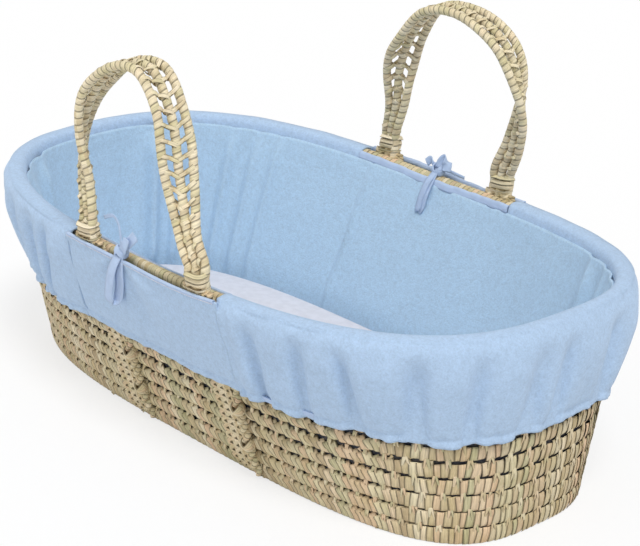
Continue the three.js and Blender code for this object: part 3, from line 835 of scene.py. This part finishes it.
def build_sling(label, x, replaced):
    line, across, out = sling_lines(x)
    pieces = sling_cords(label, line, across, out)
    pieces += sling_edge(label, line, across, out)
    pieces.append(sling_lacing(label, line, across, out))
    near_half = len(line) // 2
    for number, height in enumerate(SLING_KNOT_HEIGHTS):
        step = int(np.argmin(np.abs(line[:near_half, 2] - height)))
        for side, spot in (("near", step), ("far", len(line) - 1 - step)):
            middle = line[spot] + across[spot] * EDGE_CORD * MM + out[spot] * 4.0 * MM
            travel = line[spot + 1] - line[spot]
            travel = travel / np.linalg.norm(travel)
            name = f"{label}_knot_{side}_{number + 1}"
            pieces.append(cord_knot(name, middle, across[spot], out[spot], travel,
                                    8.5 * MM, LEAF, "palm_strap"))
    for piece in pieces:
        rest_on_floor(piece)
        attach(piece, "basket")
    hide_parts(replaced)


def rest_on_floor(piece):
    """Press flat whatever would sink into the floor."""
    for vertex in piece.data.vertices:
        vertex.co.z = max(vertex.co.z, 0.3 * MM)


# The handles


def handle_line(side, arch):
    """The middle of a handle strap: arch, with both legs carried straight down into the slings."""
    foot = 7.1 * MM / HANDLE_RISE
    below = -30 * MM / HANDLE_RISE
    spots = [(-1, below), (-1, foot), *arch, (1, foot), (1, below)]
    lean = (HINGE_Y - sling_face(HINGE_Z - 30 * MM) - SLING_THICKNESS / 2) / (30 * MM)
    points = []
    for along, up in spots:
        outwards = HINGE_Y - HANDLE_LEAN * up if up > 0 else HINGE_Y + lean * up * HANDLE_RISE
        points.append((-side * STRAP_SKEW + along * STRAP_X, side * outwards, HINGE_Z + HANDLE_RISE * up))
    return spline(points, 640)


def handle_frames(side, arch):
    line = handle_line(side, arch)
    u = np.linspace(0, 1, len(line))
    twist = np.pi / 2 * (smoothstep(u, 0.08, 0.40) + smoothstep(u, 0.60, 0.92))
    travel = unit(np.gradient(line, axis=0))
    width = np.stack([np.cos(twist), side * np.sin(twist), np.zeros_like(twist)], -1)
    width = square_to(width, travel)
    return line, width, np.cross(width, travel), u


def pinch(u):
    """How far the cords are drawn together: tight at both feet, open over the top."""
    return 0.62 + 0.38 * smoothstep(u, 0.10, 0.30) * smoothstep(1 - u, 0.12, 0.34)


LACE_PITCH = 0.0172
LACE_LEAN = 0.0125


def cross_laces(line, gathered, out, low, high, lean):
    """Short leaf strips between two cords, each over one cord, through the gap and under the other."""
    length = lengths_along(line)
    count = int((length[-1] - 0.03) / LACE_PITCH)
    middle = 0.015 + (np.arange(count)[:, None] + 0.5) * LACE_PITCH
    share = np.linspace(0, 1, 13)[None]
    along = middle + (share - 0.5) * lean
    spot = (low - 0.10 + (high - low + 0.20) * share) * CORD_PITCH
    over = np.cos(np.pi * np.clip((share - 0.12) / 0.76, 0, 1))
    tucked = 1 - 0.35 * smoothstep(np.abs(share - 0.5), 0.36, 0.5)
    rise = 5.5 * MM * np.sign(over) * np.abs(over) ** 0.8 * tucked
    across, away = table_at(gathered, length, along), unit(table_at(out, length, along))
    lines = table_at(line, length, along) + across * spot[..., None] + away * rise[..., None]
    flat = unit(np.gradient(lines, axis=1))
    facing = square_to(away, flat)
    return lines, np.cross(facing, flat), facing


def handle_laces(name, line, gathered, out):
    sets = []
    for low, high, lean in ((-1, 0, LACE_LEAN), (0, 1, -LACE_LEAN)):
        sets.append(cross_laces(line, gathered, out, low, high, lean))
        sets.append(cross_laces(line, gathered, -out, low, high, lean * 0.6))
    lines, across, facing = (np.concatenate(parts) for parts in zip(*sets))
    width = 2.7 * MM * random.uniform(0.8, 1.15, (len(lines), 1))
    return leaf_strips(name, lines, across, facing, width, 0.55 * MM, STRAP_LEAF)


def build_handle(side, arch):
    label = "near" if side < 0 else "far"
    line, width, out, u = handle_frames(side, arch)
    pieces = []
    gathered = width * pinch(u)[:, None]
    for index, place in enumerate((-1, 0, 1)):
        wobble = 0.5 * MM * np.sin(u * 46 + 2.1 * index)
        stacked = 0.8 * MM * place * (1 - pinch(u)) * 6
        middle = line + gathered * place * CORD_PITCH + out * (wobble + stacked)[:, None]
        name = f"{label}_handle_strand_{'abc'[index]}"
        radii = (CORD_RADIUS, CORD_RADIUS)
        pieces.append(wrapped_cord(name, middle, width, out, radii, 8.5 * MM,
                                   WOUND_LEAF, 14, 0.08))
    pieces.append(handle_laces(f"{label}_handle_lacing", line, gathered, out))
    for number, place in enumerate((0.055, 0.945)):
        spot = int(place * (len(line) - 1))
        travel = unit(line[spot + 1] - line[spot])
        name = f"{label}_handle_binding_{number + 1}"
        pieces.append(foot_binding(name, line[spot], width[spot], out[spot], travel))
    for piece in pieces:
        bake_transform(piece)
    nodes = [f"{label}_handle_{part}" for part in
             ("cord_a", "cord_b", "cord_c", "lace_a", "lace_b", "wrap_head", "wrap_foot")]
    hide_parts(*nodes)


def foot_binding(name, middle, across, out, travel):
    """Leaf strips wound round the three cords where a leg leaves the basket."""
    turns = np.linspace(0, 2 * np.pi, 48)
    lines = []
    for shift in np.linspace(-9, 9, 4):
        flat = np.cos(turns)
        reach = np.sign(flat) * np.abs(flat) ** 0.6 * (15.5 * MM)
        deep = np.sign(np.sin(turns)) * np.abs(np.sin(turns)) ** 0.7 * 7.4 * MM
        skew = (shift + 2.2 * flat) * MM
        lines.append(middle + reach[:, None] * across + deep[:, None] * out + skew[:, None] * travel)
    return wound_strips(name, np.stack(lines), middle, 2.9 * MM, 0.6 * MM, STRAP_LEAF)


# The liner

VALANCE_PATH = [
    (-6.9, 18.0), (-7.7, 8), (-6.4, 2.4), (-2.5, 0.6), (3, 0.5), (9, 2.2), (14, 6.8), (18, 14),
    (20.2, 27), (20.6, 42), (18.8, 62), (15.4, 84), (11.2, 104), (10.2, 118),
]
PANEL_PATH = [(17.6, 3.2), (19.6, 14), (20.6, 32), (21.0, 60), (20.6, 90), (19.8, 118)]
NEAR_CREASES = (0.8185, 0.836, 0.867, 0.889, 0.925, 0.952)
SEAM_OVERLAP = 0.004


def waves(arc, pitch, seed):
    """Smooth random heights from -1 to 1 along the wall, one every pitch."""
    table = np.random.RandomState(seed).uniform(-1, 1, 512)
    place = arc / pitch
    low = np.floor(place).astype(int)
    share = smoothstep(place - low, 0, 1)
    return table[low % 512] * (1 - share) + table[(low + 1) % 512] * share


def creases_between(first, last, seed):
    """Arcs of the valleys between gathers: the ones seen in the photo, and evenly scattered others."""
    source = np.random.RandomState(seed)
    arcs = []
    arc = first + 0.03
    while arc < last - 0.03:
        arcs.append(arc)
        arc += source.uniform(0.036, 0.072)
    seen = [fraction * GIRTH for fraction in NEAR_CREASES]
    kept = [arc for arc in arcs if not (seen[0] - 0.03 < arc < seen[-1] + 0.03)]
    return kept + [arc for arc in seen if first < arc < last]


def hem_fall(arc):
    along = outline_at(arc, RIM_POINTS)[..., 0] / RIM_OUTLINE[0]
    return np.where(along > 0, 3.0, 13.0) * MM * along ** 2


def hem_bulge(arc):
    x = np.abs(outline_at(arc, RIM_POINTS)[..., 0])
    return 9.8 * MM * (1 - smoothstep(x, 0.18, 0.32))


def hem_drawn(drop):
    """How far the seam above the hem draws the cloth in, from 0 to 1."""
    return np.exp(-((drop - 0.109) / 0.0035) ** 2)


def hem_pucker(arc, drop, pitch, seed):
    """The small gathers below the seam above the hem."""
    return waves(arc, pitch, seed + 2) * smoothstep(drop, 96 * MM, 112 * MM)


def hem_ragged(arc, seed, long_wave, short_wave):
    """How far the hem strays from its line; the two waves are in millimetres."""
    return (long_wave * waves(arc, 0.021, seed + 6) + short_wave * waves(arc, 0.009, seed + 7)) * MM


def valance_grid(first, last, seed):
    columns = int((last - first) / 0.0026)
    arc = np.linspace(first, last, columns)[:, None]
    path = spline([(offset * MM, drop * MM) for offset, drop in VALANCE_PATH], 64)
    offset, drop = path[None, :, 0], path[None, :, 1]
    outside = smoothstep(offset, 0, 16 * MM) + smoothstep(drop, 20 * MM, 30 * MM)
    outside = np.clip(outside, 0, 1)
    low = smoothstep(drop, 20 * MM, HEM_DROP)
    offset = offset + hem_bulge(arc) * smoothstep(drop, 50 * MM, 110 * MM)
    depth = np.zeros_like(arc + drop)
    for number, crease in enumerate(creases_between(first, last, seed)):
        slant = 0.10 * waves(np.float64(number), 1.0, seed + 5)
        width = (7.0 + 2.5 * waves(np.float64(number), 1.0, seed + 9)) * MM
        away = (arc - crease - slant * drop) / (width * (1 + 0.6 * (1 - low)))
        strength = 14.0 + 2.5 * waves(np.float64(number), 1.0, seed + 3)
        depth = depth + strength * MM * np.exp(-away ** 2)
    seam = smoothstep(arc, first, first + 0.03) * smoothstep(-arc, -last, 0.03 - last)
    body = smoothstep(drop, 8 * MM, 46 * MM) * outside * seam
    soft = 3.0 * MM * waves(arc + 0.25 * drop, 0.030, seed)
    soft = soft + 1.8 * MM * waves(arc - 0.3 * drop, 0.014, seed + 1)
    offset = offset - depth * body + soft * body * (0.4 + 0.6 * low) + 5.0 * MM * body
    pucker = 1.6 * MM * hem_pucker(arc, drop, 0.0085, seed)
    roll = 1.4 * MM * waves(arc, 0.03, seed + 4) * outside * (1 - low)
    drawn = 2.4 * MM * hem_drawn(drop)
    clear_of_leaf = (10.8 + 1.2 * side_share(arc)) * MM
    offset = np.maximum(offset + pucker + roll - drawn, np.where(outside > 0.5, clear_of_leaf, -9.5 * MM))
    ragged = hem_ragged(arc, seed, 2.2, 1.1) * low ** 2
    height = CREST - drop - hem_fall(arc) * low + ragged + 0.5 * roll
    return wall(arc, offset, height)


def knot_folds(arc, drop, knot_arc, seed):
    """Soft folds that run down and away from the tie knot."""
    angle = np.arctan2(arc - knot_arc, drop + 0.012)
    distance = np.hypot(arc - knot_arc, drop + 0.012)
    fading = smoothstep(distance, 0.0, 0.03) * (1 - smoothstep(distance, 0.07, 0.15))
    return 2.2 * MM * np.sin(angle * 7 + seed) * fading


def slot_sag(x):
    """How far the top of a slot panel dips between the straps, most of all near the foot strap."""
    return (2.2 + 2.6 * np.cos(np.clip((x - 0.06) / 0.07, -1, 1) * np.pi / 2)) * MM


def slot_panel_grid(side, seed):
    ends = slot_ends(side, SLOT_HALF_LENGTH + SEAM_OVERLAP)
    columns = int((ends[1] - ends[0]) / 0.0026)
    arc = np.linspace(*ends, columns)[:, None]
    path = spline([(offset * MM, drop * MM) for offset, drop in PANEL_PATH], 50)
    offset, drop = path[None, :, 0], path[None, :, 1]
    x = outline_at(arc, RIM_POINTS)[..., 0]
    knot_arc = float(arc_of(TIE_X[side], side))
    low = smoothstep(drop, 20 * MM, HEM_DROP)
    folds = knot_folds(arc, drop, knot_arc, seed) + 1.0 * MM * waves(arc + 0.4 * drop, 0.045, seed)
    pucker = 1.3 * MM * hem_pucker(arc, drop, 0.009, seed)
    drawn = 2.0 * MM * hem_drawn(drop)
    tucked = 1 - smoothstep(SLOT_HALF_LENGTH + SEAM_OVERLAP - np.abs(x), 0, 2 * SEAM_OVERLAP)
    offset = offset + folds * smoothstep(drop, 4 * MM, 20 * MM) + pucker - drawn + 0.4 * MM
    offset = offset - 2.2 * MM * tucked * smoothstep(drop, 6 * MM, 16 * MM)
    ragged = hem_ragged(arc, seed, 1.6, 0.8) * low ** 2
    height = CREST + 2.0 * MM - drop - slot_sag(x) * (1 - low) - hem_fall(arc) * low + ragged
    return wall(arc, offset, height)


# Folds of the lining: (share of the girth, depth in millimetres, width in millimetres).
LINING_FOLDS = [
    (0.461, -5.0, 9), (0.443, 3.0, 7), (0.412, -3.0, 6), (0.395, 2.5, 6), (0.380, -2.5, 5),
    (0.308, 2.2, 2.5), (0.551, -4.0, 8), (0.575, 3.0, 9), (0.103, -3.5, 8), (0.085, 3.0, 7),
    (0.070, -3.0, 7), (0.030, 2.5, 9), (0.960, -3.0, 9), (0.905, 3.0, 9), (0.700, -2.5, 10),
    (0.808, 2.2, 2.5), (0.620, -2.5, 9),
]


def lining_grid():
    columns = 520
    arc = np.linspace(0, GIRTH, columns, endpoint=False)[:, None]
    height = np.linspace(17 * MM, 236 * MM, 64)[None]
    middle = smoothstep(height, 0.02, 0.08) * (1 - 0.6 * smoothstep(height, 0.20, 0.232))
    offset = -7.4 * MM - 2.4 * MM * middle * (1 + waves(arc + 0.1 * height, 0.05, 31))
    for place, depth, width in LINING_FOLDS:
        away = (arc - place * GIRTH + 0.04 * (height - 0.12)) / (width * MM)
        offset = offset - 2.8 * abs(depth) * MM * np.exp(-away ** 2) * middle
    fine = 0.7 * MM * waves(arc + 0.15 * height, 0.02, 33) * middle
    overlap = 1.1 * MM * smoothstep(height, 0.205, 0.226)
    return wall(arc, np.minimum(offset + fine, -6.9 * MM) - overlap, height)


def floor_grid():
    """The lining's floor: rings of the base outline that run in to the middle."""
    arc = np.linspace(0, GIRTH, 240, endpoint=False)[:, None]
    inwards = np.linspace(1.0, 0.0006, 40)[None]
    rim = wall(arc + 0 * inwards, -7.0 * MM + 0 * arc, 16.6 * MM + 0 * inwards)
    ripple = 0.35 * MM * waves(arc * inwards, 0.03, 41)
    return np.stack([rim[..., 0] * inwards, rim[..., 1] * inwards, 16.6 * MM + ripple + 0 * inwards], -1)


def bound_edge(name, arcs, offset, height, drop, thickness):
    """A folded tape over an edge, with a little roll to its section."""
    arc = np.asarray(arcs)[:, None]
    offset, height = np.asarray(offset)[:, None], np.asarray(height)[:, None]
    turn = np.linspace(0.12, 0.88, 14)[None] * 2 * np.pi
    round_offset = offset - np.sin(turn) * thickness
    stretch = np.where(np.cos(turn) < 0, 0.25, 1.0)
    round_height = height - np.cos(turn) * stretch * drop
    uneven = 0.35 * MM * waves(arc, 0.011, 51)
    grid = wall(arc, round_offset + uneven, round_height + uneven)
    return sheet_mesh(name, grid, 0.9 * MM, TAPE)


def stitch_line(name, arcs, offset, height, stitch, material):
    """A row of short sewn stitches along the wall."""
    length = arcs[-1] - arcs[0]
    count = int(length / stitch)
    start = np.linspace(arcs[0], arcs[-1] - stitch, count)[:, None]
    arc = start + np.linspace(0.1, 0.8, 5)[None] * stitch
    bow = 0.35 * MM * np.sin(np.linspace(0, np.pi, 5))[None]
    offset_at = np.interp(arc, arcs, offset) + bow
    height_at = np.interp(arc, arcs, height)
    lines = wall(arc, offset_at, height_at)
    travel = unit(np.gradient(lines, axis=1))
    normal = outline_at(arc, RIM_NORMALS)
    out = unit(np.concatenate([normal, np.zeros_like(normal[..., :1])], -1))
    return leaf_strips(name, lines, np.cross(out, travel), out, 0.45 * MM, 0.35 * MM, material)


def cloth(piece, replaced):
    """Let a cloth piece ride in place of a CAD node."""
    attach(piece, "basket")
    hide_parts(replaced)


TIE_X = {-1: -0.028, 1: -0.002}


def build_valances():
    spans = (
        ("foot", float(arc_of(SLOT_HALF_LENGTH, -1)), GIRTH + float(arc_of(SLOT_HALF_LENGTH, 1)), 61),
        ("head", float(arc_of(-SLOT_HALF_LENGTH, 1)), float(arc_of(-SLOT_HALF_LENGTH, -1)), 83),
    )
    for end, first, last, seed in spans:
        grid = valance_grid(first, last, seed)
        piece = sheet_mesh(f"valance_{end}_fleece", grid, FLEECE, FLEECE_BLUE)
        cloth(piece, f"valance_{end}")
    for side, label in ((-1, "near"), (1, "far")):
        grid = slot_panel_grid(side, 97 + side)
        piece = sheet_mesh(f"slot_panel_{label}_fleece", grid, FLEECE, FLEECE_BLUE)
        cloth(piece, f"slot_panel_{label}")
        cloth(slot_edge(side, label), f"slot_binding_{label}")
        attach(slot_stitches(side, label), "basket")
        cloth(lining_edge(side, label), f"lining_binding_{label}")


def slot_arcs(side):
    return np.linspace(*slot_ends(side, SLOT_HALF_LENGTH), 110)


def slot_edge_height(arcs):
    """The upper edge of a slot panel."""
    return CREST - 1.2 * MM - slot_sag(outline_at(arcs, RIM_POINTS)[..., 0])


def slot_edge(side, label):
    arcs = slot_arcs(side)
    offset = np.full(len(arcs), 17.8 * MM)
    return bound_edge(f"slot_edge_{label}", arcs, offset, slot_edge_height(arcs), 5.5 * MM, 2.0 * MM)


def slot_stitches(side, label):
    arcs = slot_arcs(side)
    offset = np.full(len(arcs), 20.4 * MM)
    height = slot_edge_height(arcs) - 2.2 * MM
    return stitch_line(f"slot_stitches_{label}", arcs, offset, height, 3.2 * MM, COTTON)


def lining_edge(side, label):
    arcs = slot_arcs(side)
    x = outline_at(arcs, RIM_POINTS)[..., 0]
    height = 241 * MM - 1.2 * MM * np.cos(x * 24)
    offset = np.full(len(arcs), -8.2 * MM)
    return bound_edge(f"lining_edge_{label}", arcs, offset, height, 9.0 * MM, 1.9 * MM)


def build_lining():
    piece = sheet_mesh("lining_wall", lining_grid(), 2 * MM, FLEECE_LINING_LIGHTER, around=True)
    cloth(piece, "lining")
    piece = sheet_mesh("lining_floor_fleece", floor_grid(), 1.8 * MM, FLEECE_LINING_LIGHTER, around=True)
    cloth(piece, "lining_floor")
    dress("hem_elastic", TAPE)


# The ties


TAPE_POINTS = 44


def tape(name, points, sides, width, thickness=1.1 * MM):
    """A soft flat tape through the given points; sides are its width directions."""
    line = spline(points, TAPE_POINTS)
    sides = np.asarray(sides, float)
    across = table_at(sides, np.linspace(0, 1, len(sides)), np.linspace(0, 1, len(line)))
    travel = unit(np.gradient(line, axis=0))
    across = square_to(across, travel)
    cup = np.array([-1, -0.5, 0, 0.5, 1])
    out = np.cross(travel, across)
    bow = (1 - cup ** 2) * 0.8 * MM
    grid = line[:, None] + across[:, None] * (cup * width / 2)[None, :, None]
    grid = grid + out[:, None] * bow[None, :, None]
    return sheet_mesh(name, grid, thickness, TAPE)


# Each bow: where its knot stands in y and z, what width its loop was cut to in metres, and its tapes
# as (points in millimetres from the knot, width directions, width in millimetres).
NEAR_BOW = {
    "knot": (-0.2445, 0.2525),
    "cut": 0.013,
    "tapes": {
        "bow_loop": (
            [(-1, -4, -3), (-5, -9, -18), (-11, -9, -38), (-15, -7, -58), (-15, -3, -65),
             (-9, 0, -60), (-2, -2, -40), (1, -5, -20), (1, -4, -3)],
            [(1, 0, 0), (1, 0, 0.15), (1, 0, 0.2), (1, 0.1, 0.2), (1, 0.1, -0.1), (1, 0.1, -0.1), (1, 0, 0)],
            13),
        "bow_tail": (
            [(2, -2, 2), (8, -4, 9), (17, -4, 16), (27, -2, 27)],
            [(0.6, 0, -0.8), (0.7, 0, -0.7)], 12),
        "bow_tail_2": (
            [(2, -2, 1), (9, -6, 5), (15, -8, 12), (18, -7, 22)],
            [(0.8, 0, -0.5), (0.8, 0, -0.2)], 10),
        "tie_string": (
            [(-1, 0, 3), (-6, 3, 15), (-14, 6, 28), (-26, 8, 33), (-44, 9, 26)],
            [(0.3, 0, 1), (0, 0, 1)], 4),
    },
}
FAR_BOW = {
    "knot": (0.2300, 0.2525),
    "cut": 0.01,
    "tapes": {
        "bow_loop": (
            [(0, -6, -2), (-2, -15, -12), (-5, -22, -28), (-7, -26, -46), (-7, -27, -52),
             (-3, -26, -47), (0, -22, -28), (1, -14, -12), (0, -6, -2)],
            [(1, 0, 0)] * 7, 9),
        "bow_tail": (
            [(1, 0, 2), (2, 2, 10), (7, 3, 15), (13, 1, 11), (15, -2, 2)],
            [(0.6, 0, -0.8), (0.7, 0, -0.7)], 12),
        "bow_tail_2": (
            [(-1, 0, 1), (-8, 1, 7), (-16, 2, 8), (-22, 1, 3)],
            [(0.8, 0, -0.5), (0.8, 0, -0.2)], 10),
        "tie_string": (
            [(2, 2, 0), (12, 4, 1), (26, 5, 0), (40, 5, -1)],
            [(0.3, 0, 1), (0, 0, 1)], 4),
    },
}


def bow_points(knot, spots):
    """Places given in millimetres from the knot."""
    return [tuple(start + reach * MM for start, reach in zip(knot, spot)) for spot in spots]


def build_tie(side, bow):
    label = "near" if side < 0 else "far"
    knot = Vector((TIE_X[side], *bow["knot"]))
    axes = np.array([1.0, 0, 0]), np.array([0, float(side), 0]), np.array([0, 0, 1.0])
    pieces = [cord_knot(f"{label}_bow_knot", np.array(knot), *axes, 8.4 * MM, TAPE, "binding_tape")]
    for part, (spots, sides, width) in bow["tapes"].items():
        pieces.append(tape(f"{label}_{part}", bow_points(knot, spots), sides, width * MM))
    for piece in pieces:
        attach(piece, "basket")
    for piece, part in zip(pieces, ("knot", "loop", "tail")):
        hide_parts(f"{label}_tie_{part}")
    loop_line = spline(bow_points(knot, bow["tapes"]["bow_loop"][0]), TAPE_POINTS)
    loop_piece = pieces.pop(1)
    round(float(lengths_along(loop_line)[-1]), 3)


# The mattress

MATTRESS_OUTLINE = (0.370, 0.140, 2.9)


def mattress_points(columns):
    """A crowned closed pad: rings from the middle of the top, round the edge, to the middle below."""
    low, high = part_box("mattress_cover_base")[0][2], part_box("mattress_cover_top")[1][2]
    turn = np.linspace(0, OUTLINE_STEPS, columns, endpoint=False).astype(int)
    ring = superellipse(*MATTRESS_OUTLINE)[turn]
    ring[:, 1] /= 1 + FOOT_FLARE * (ring[:, 0] / MATTRESS_OUTLINE[0]) ** 3
    outwards = outline_normals(*MATTRESS_OUTLINE)[turn]
    edge = [(-8.0, 0.8), (-3.5, -0.4), (-0.2, -3.6), (1.0, -8.5), (1.2, -14.0), (1.2, -19.0)]
    rings = [(share, 0.0, high + 4.5 * MM * (1 - share ** 3)) for share in np.linspace(0.0, 0.93, 26)]
    rings += [(1.0, offset * MM, high + drop * MM) for offset, drop in edge]
    rings += [(1.0, offset * MM, low - drop * MM) for offset, drop in reversed(edge[:-1])]
    rings += [(share, 0.0, low) for share in np.linspace(0.93, 0.0, 12)]
    grid = []
    for share, offset, height in rings:
        flat = ring * share + outwards * offset
        dimple = 0.8 * MM * waves(flat[:, 0] + 2.3 * flat[:, 1], 0.05, 71) * (height > high)
        grid.append(np.column_stack([flat, height + dimple]))
    return np.stack(grid, 1)


def build_mattress():
    grid = mattress_points(200)
    columns, rows = grid.shape[:2]
    index = np.arange(columns * rows).reshape(columns, rows)
    quads = cell_quads(np.concatenate([index, index[:1]]))
    piece = make_piece("mattress_cover", grid, quads, COTTON)
    weld(piece)
    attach(piece, "mattress")
    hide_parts("mattress_cover_top", "mattress_cover_base")
    dress("mattress_foam", FOAM)


def weld(piece):
    """Join the points that lie on one another and drop the faces this closes up."""
    work = bmesh.new()
    work.from_mesh(piece.data)
    bmesh.ops.remove_doubles(work, verts=work.verts, dist=0.05 * MM)
    bmesh.ops.recalc_face_normals(work, faces=work.faces)
    work.to_mesh(piece.data)
    work.free()


# Floor, light and camera

FLOOR_GLOW = 0.72
WORLD_LIGHT = 0.52
# Each lamp: name, strength, angle in degrees, and the direction it shines from.
LAMPS = [("key", 1.9, 20, (0.45, -0.25, 0.9)), ("fill", 0.45, 60, (-0.6, -0.9, 0.5))]

# The camera that took the photo: its angles round the basket in degrees, what it looks at, how far
# away it stands, and its lens and sensor in millimetres.
AZIMUTH, ELEVATION, ROLL = 47.131, 22.353, 1.659
TARGET = (0.3033, -0.2495, 0.3350)
DISTANCE = 2.2011
LENS, SENSOR = 124.12, 36


def seen_rays(tree):
    """1 for the rays that show what they hit in the picture, and 0 for the rays that only light it."""
    path = node(tree, "ShaderNodeLightPath").outputs
    mirrored = maths(tree, "MAXIMUM", path["Is Glossy Ray"], path["Is Transmission Ray"])
    return maths(tree, "MAXIMUM", path["Is Camera Ray"], mirrored)


def build_floor():
    bpy.ops.mesh.primitive_plane_add(size=30, location=(0, 0, cad_box[0][2] - 0.5 * MM))
    floor = bpy.context.object
    floor.name = "floor"
    made = bpy.data.materials.new("pale floor")
    made.use_nodes = True
    tree = made.node_tree
    tree.nodes.clear()
    diffuse = node(tree, "ShaderNodeBsdfDiffuse", Color=(0.9, 0.9, 0.9, 1))
    glow = node(tree, "ShaderNodeEmission", Color=(1, 1, 1, 1), Strength=1.0)
    share = maths(tree, "MULTIPLY", seen_rays(tree), FLOOR_GLOW)
    mixed = node(tree, "ShaderNodeMixShader", i0=share, i1=diffuse.outputs[0], i2=glow.outputs[0])
    node(tree, "ShaderNodeOutputMaterial", Surface=mixed.outputs[0])
    floor.data.materials.append(made)


def build_light():
    world = bpy.data.worlds.new("studio")
    bpy.context.scene.world = world
    world.use_nodes = True
    tree = world.node_tree
    tree.nodes.clear()
    strength = fit_range(tree, seen_rays(tree), 0, 1, WORLD_LIGHT, 1.0)
    back = node(tree, "ShaderNodeBackground", Color=(1, 1, 1, 1), Strength=strength)
    node(tree, "ShaderNodeOutputWorld", Surface=back.outputs[0])
    for name, strength, angle, direction in LAMPS:
        lamp = bpy.data.lights.new(name, "SUN")
        lamp.energy = strength
        lamp.angle = math.radians(angle)
        holder = bpy.data.objects.new(name, lamp)
        holder.rotation_euler = Vector(direction).to_track_quat("Z", "Y").to_euler()
        bpy.context.scene.collection.objects.link(holder)


def build_camera():
    azimuth, elevation, roll = (math.radians(angle) for angle in (AZIMUTH, ELEVATION, ROLL))
    flat = math.cos(elevation)
    back = Vector((math.sin(azimuth) * flat, -math.cos(azimuth) * flat, math.sin(elevation)))
    right = Vector((math.cos(azimuth), math.sin(azimuth), 0))
    up = back.cross(right)
    tilted_right = math.cos(roll) * right + math.sin(roll) * up
    tilted_up = -math.sin(roll) * right + math.cos(roll) * up
    camera = bpy.data.cameras.new("camera")
    camera.sensor_width = SENSOR
    camera.lens = LENS
    holder = bpy.data.objects.new("camera", camera)
    turn = Matrix((tilted_right, tilted_up, back)).transposed().to_4x4()
    holder.matrix_world = Matrix.Translation(Vector(TARGET) + back * DISTANCE) @ turn
    bpy.context.scene.collection.objects.link(holder)
    bpy.context.scene.camera = holder


build_wall()
build_sling("sling_head", -STRAP_X, "sling_head")
build_sling("sling_foot", STRAP_X, "sling_foot")
build_handle(-1, NEAR_ARCH)
build_handle(1, FAR_ARCH)
build_lining()
build_valances()
build_tie(-1, NEAR_BOW)
build_tie(1, FAR_BOW)
build_mattress()
build_floor()
build_light()
build_camera()
bpy.context.scene.view_settings.view_transform = "Standard"
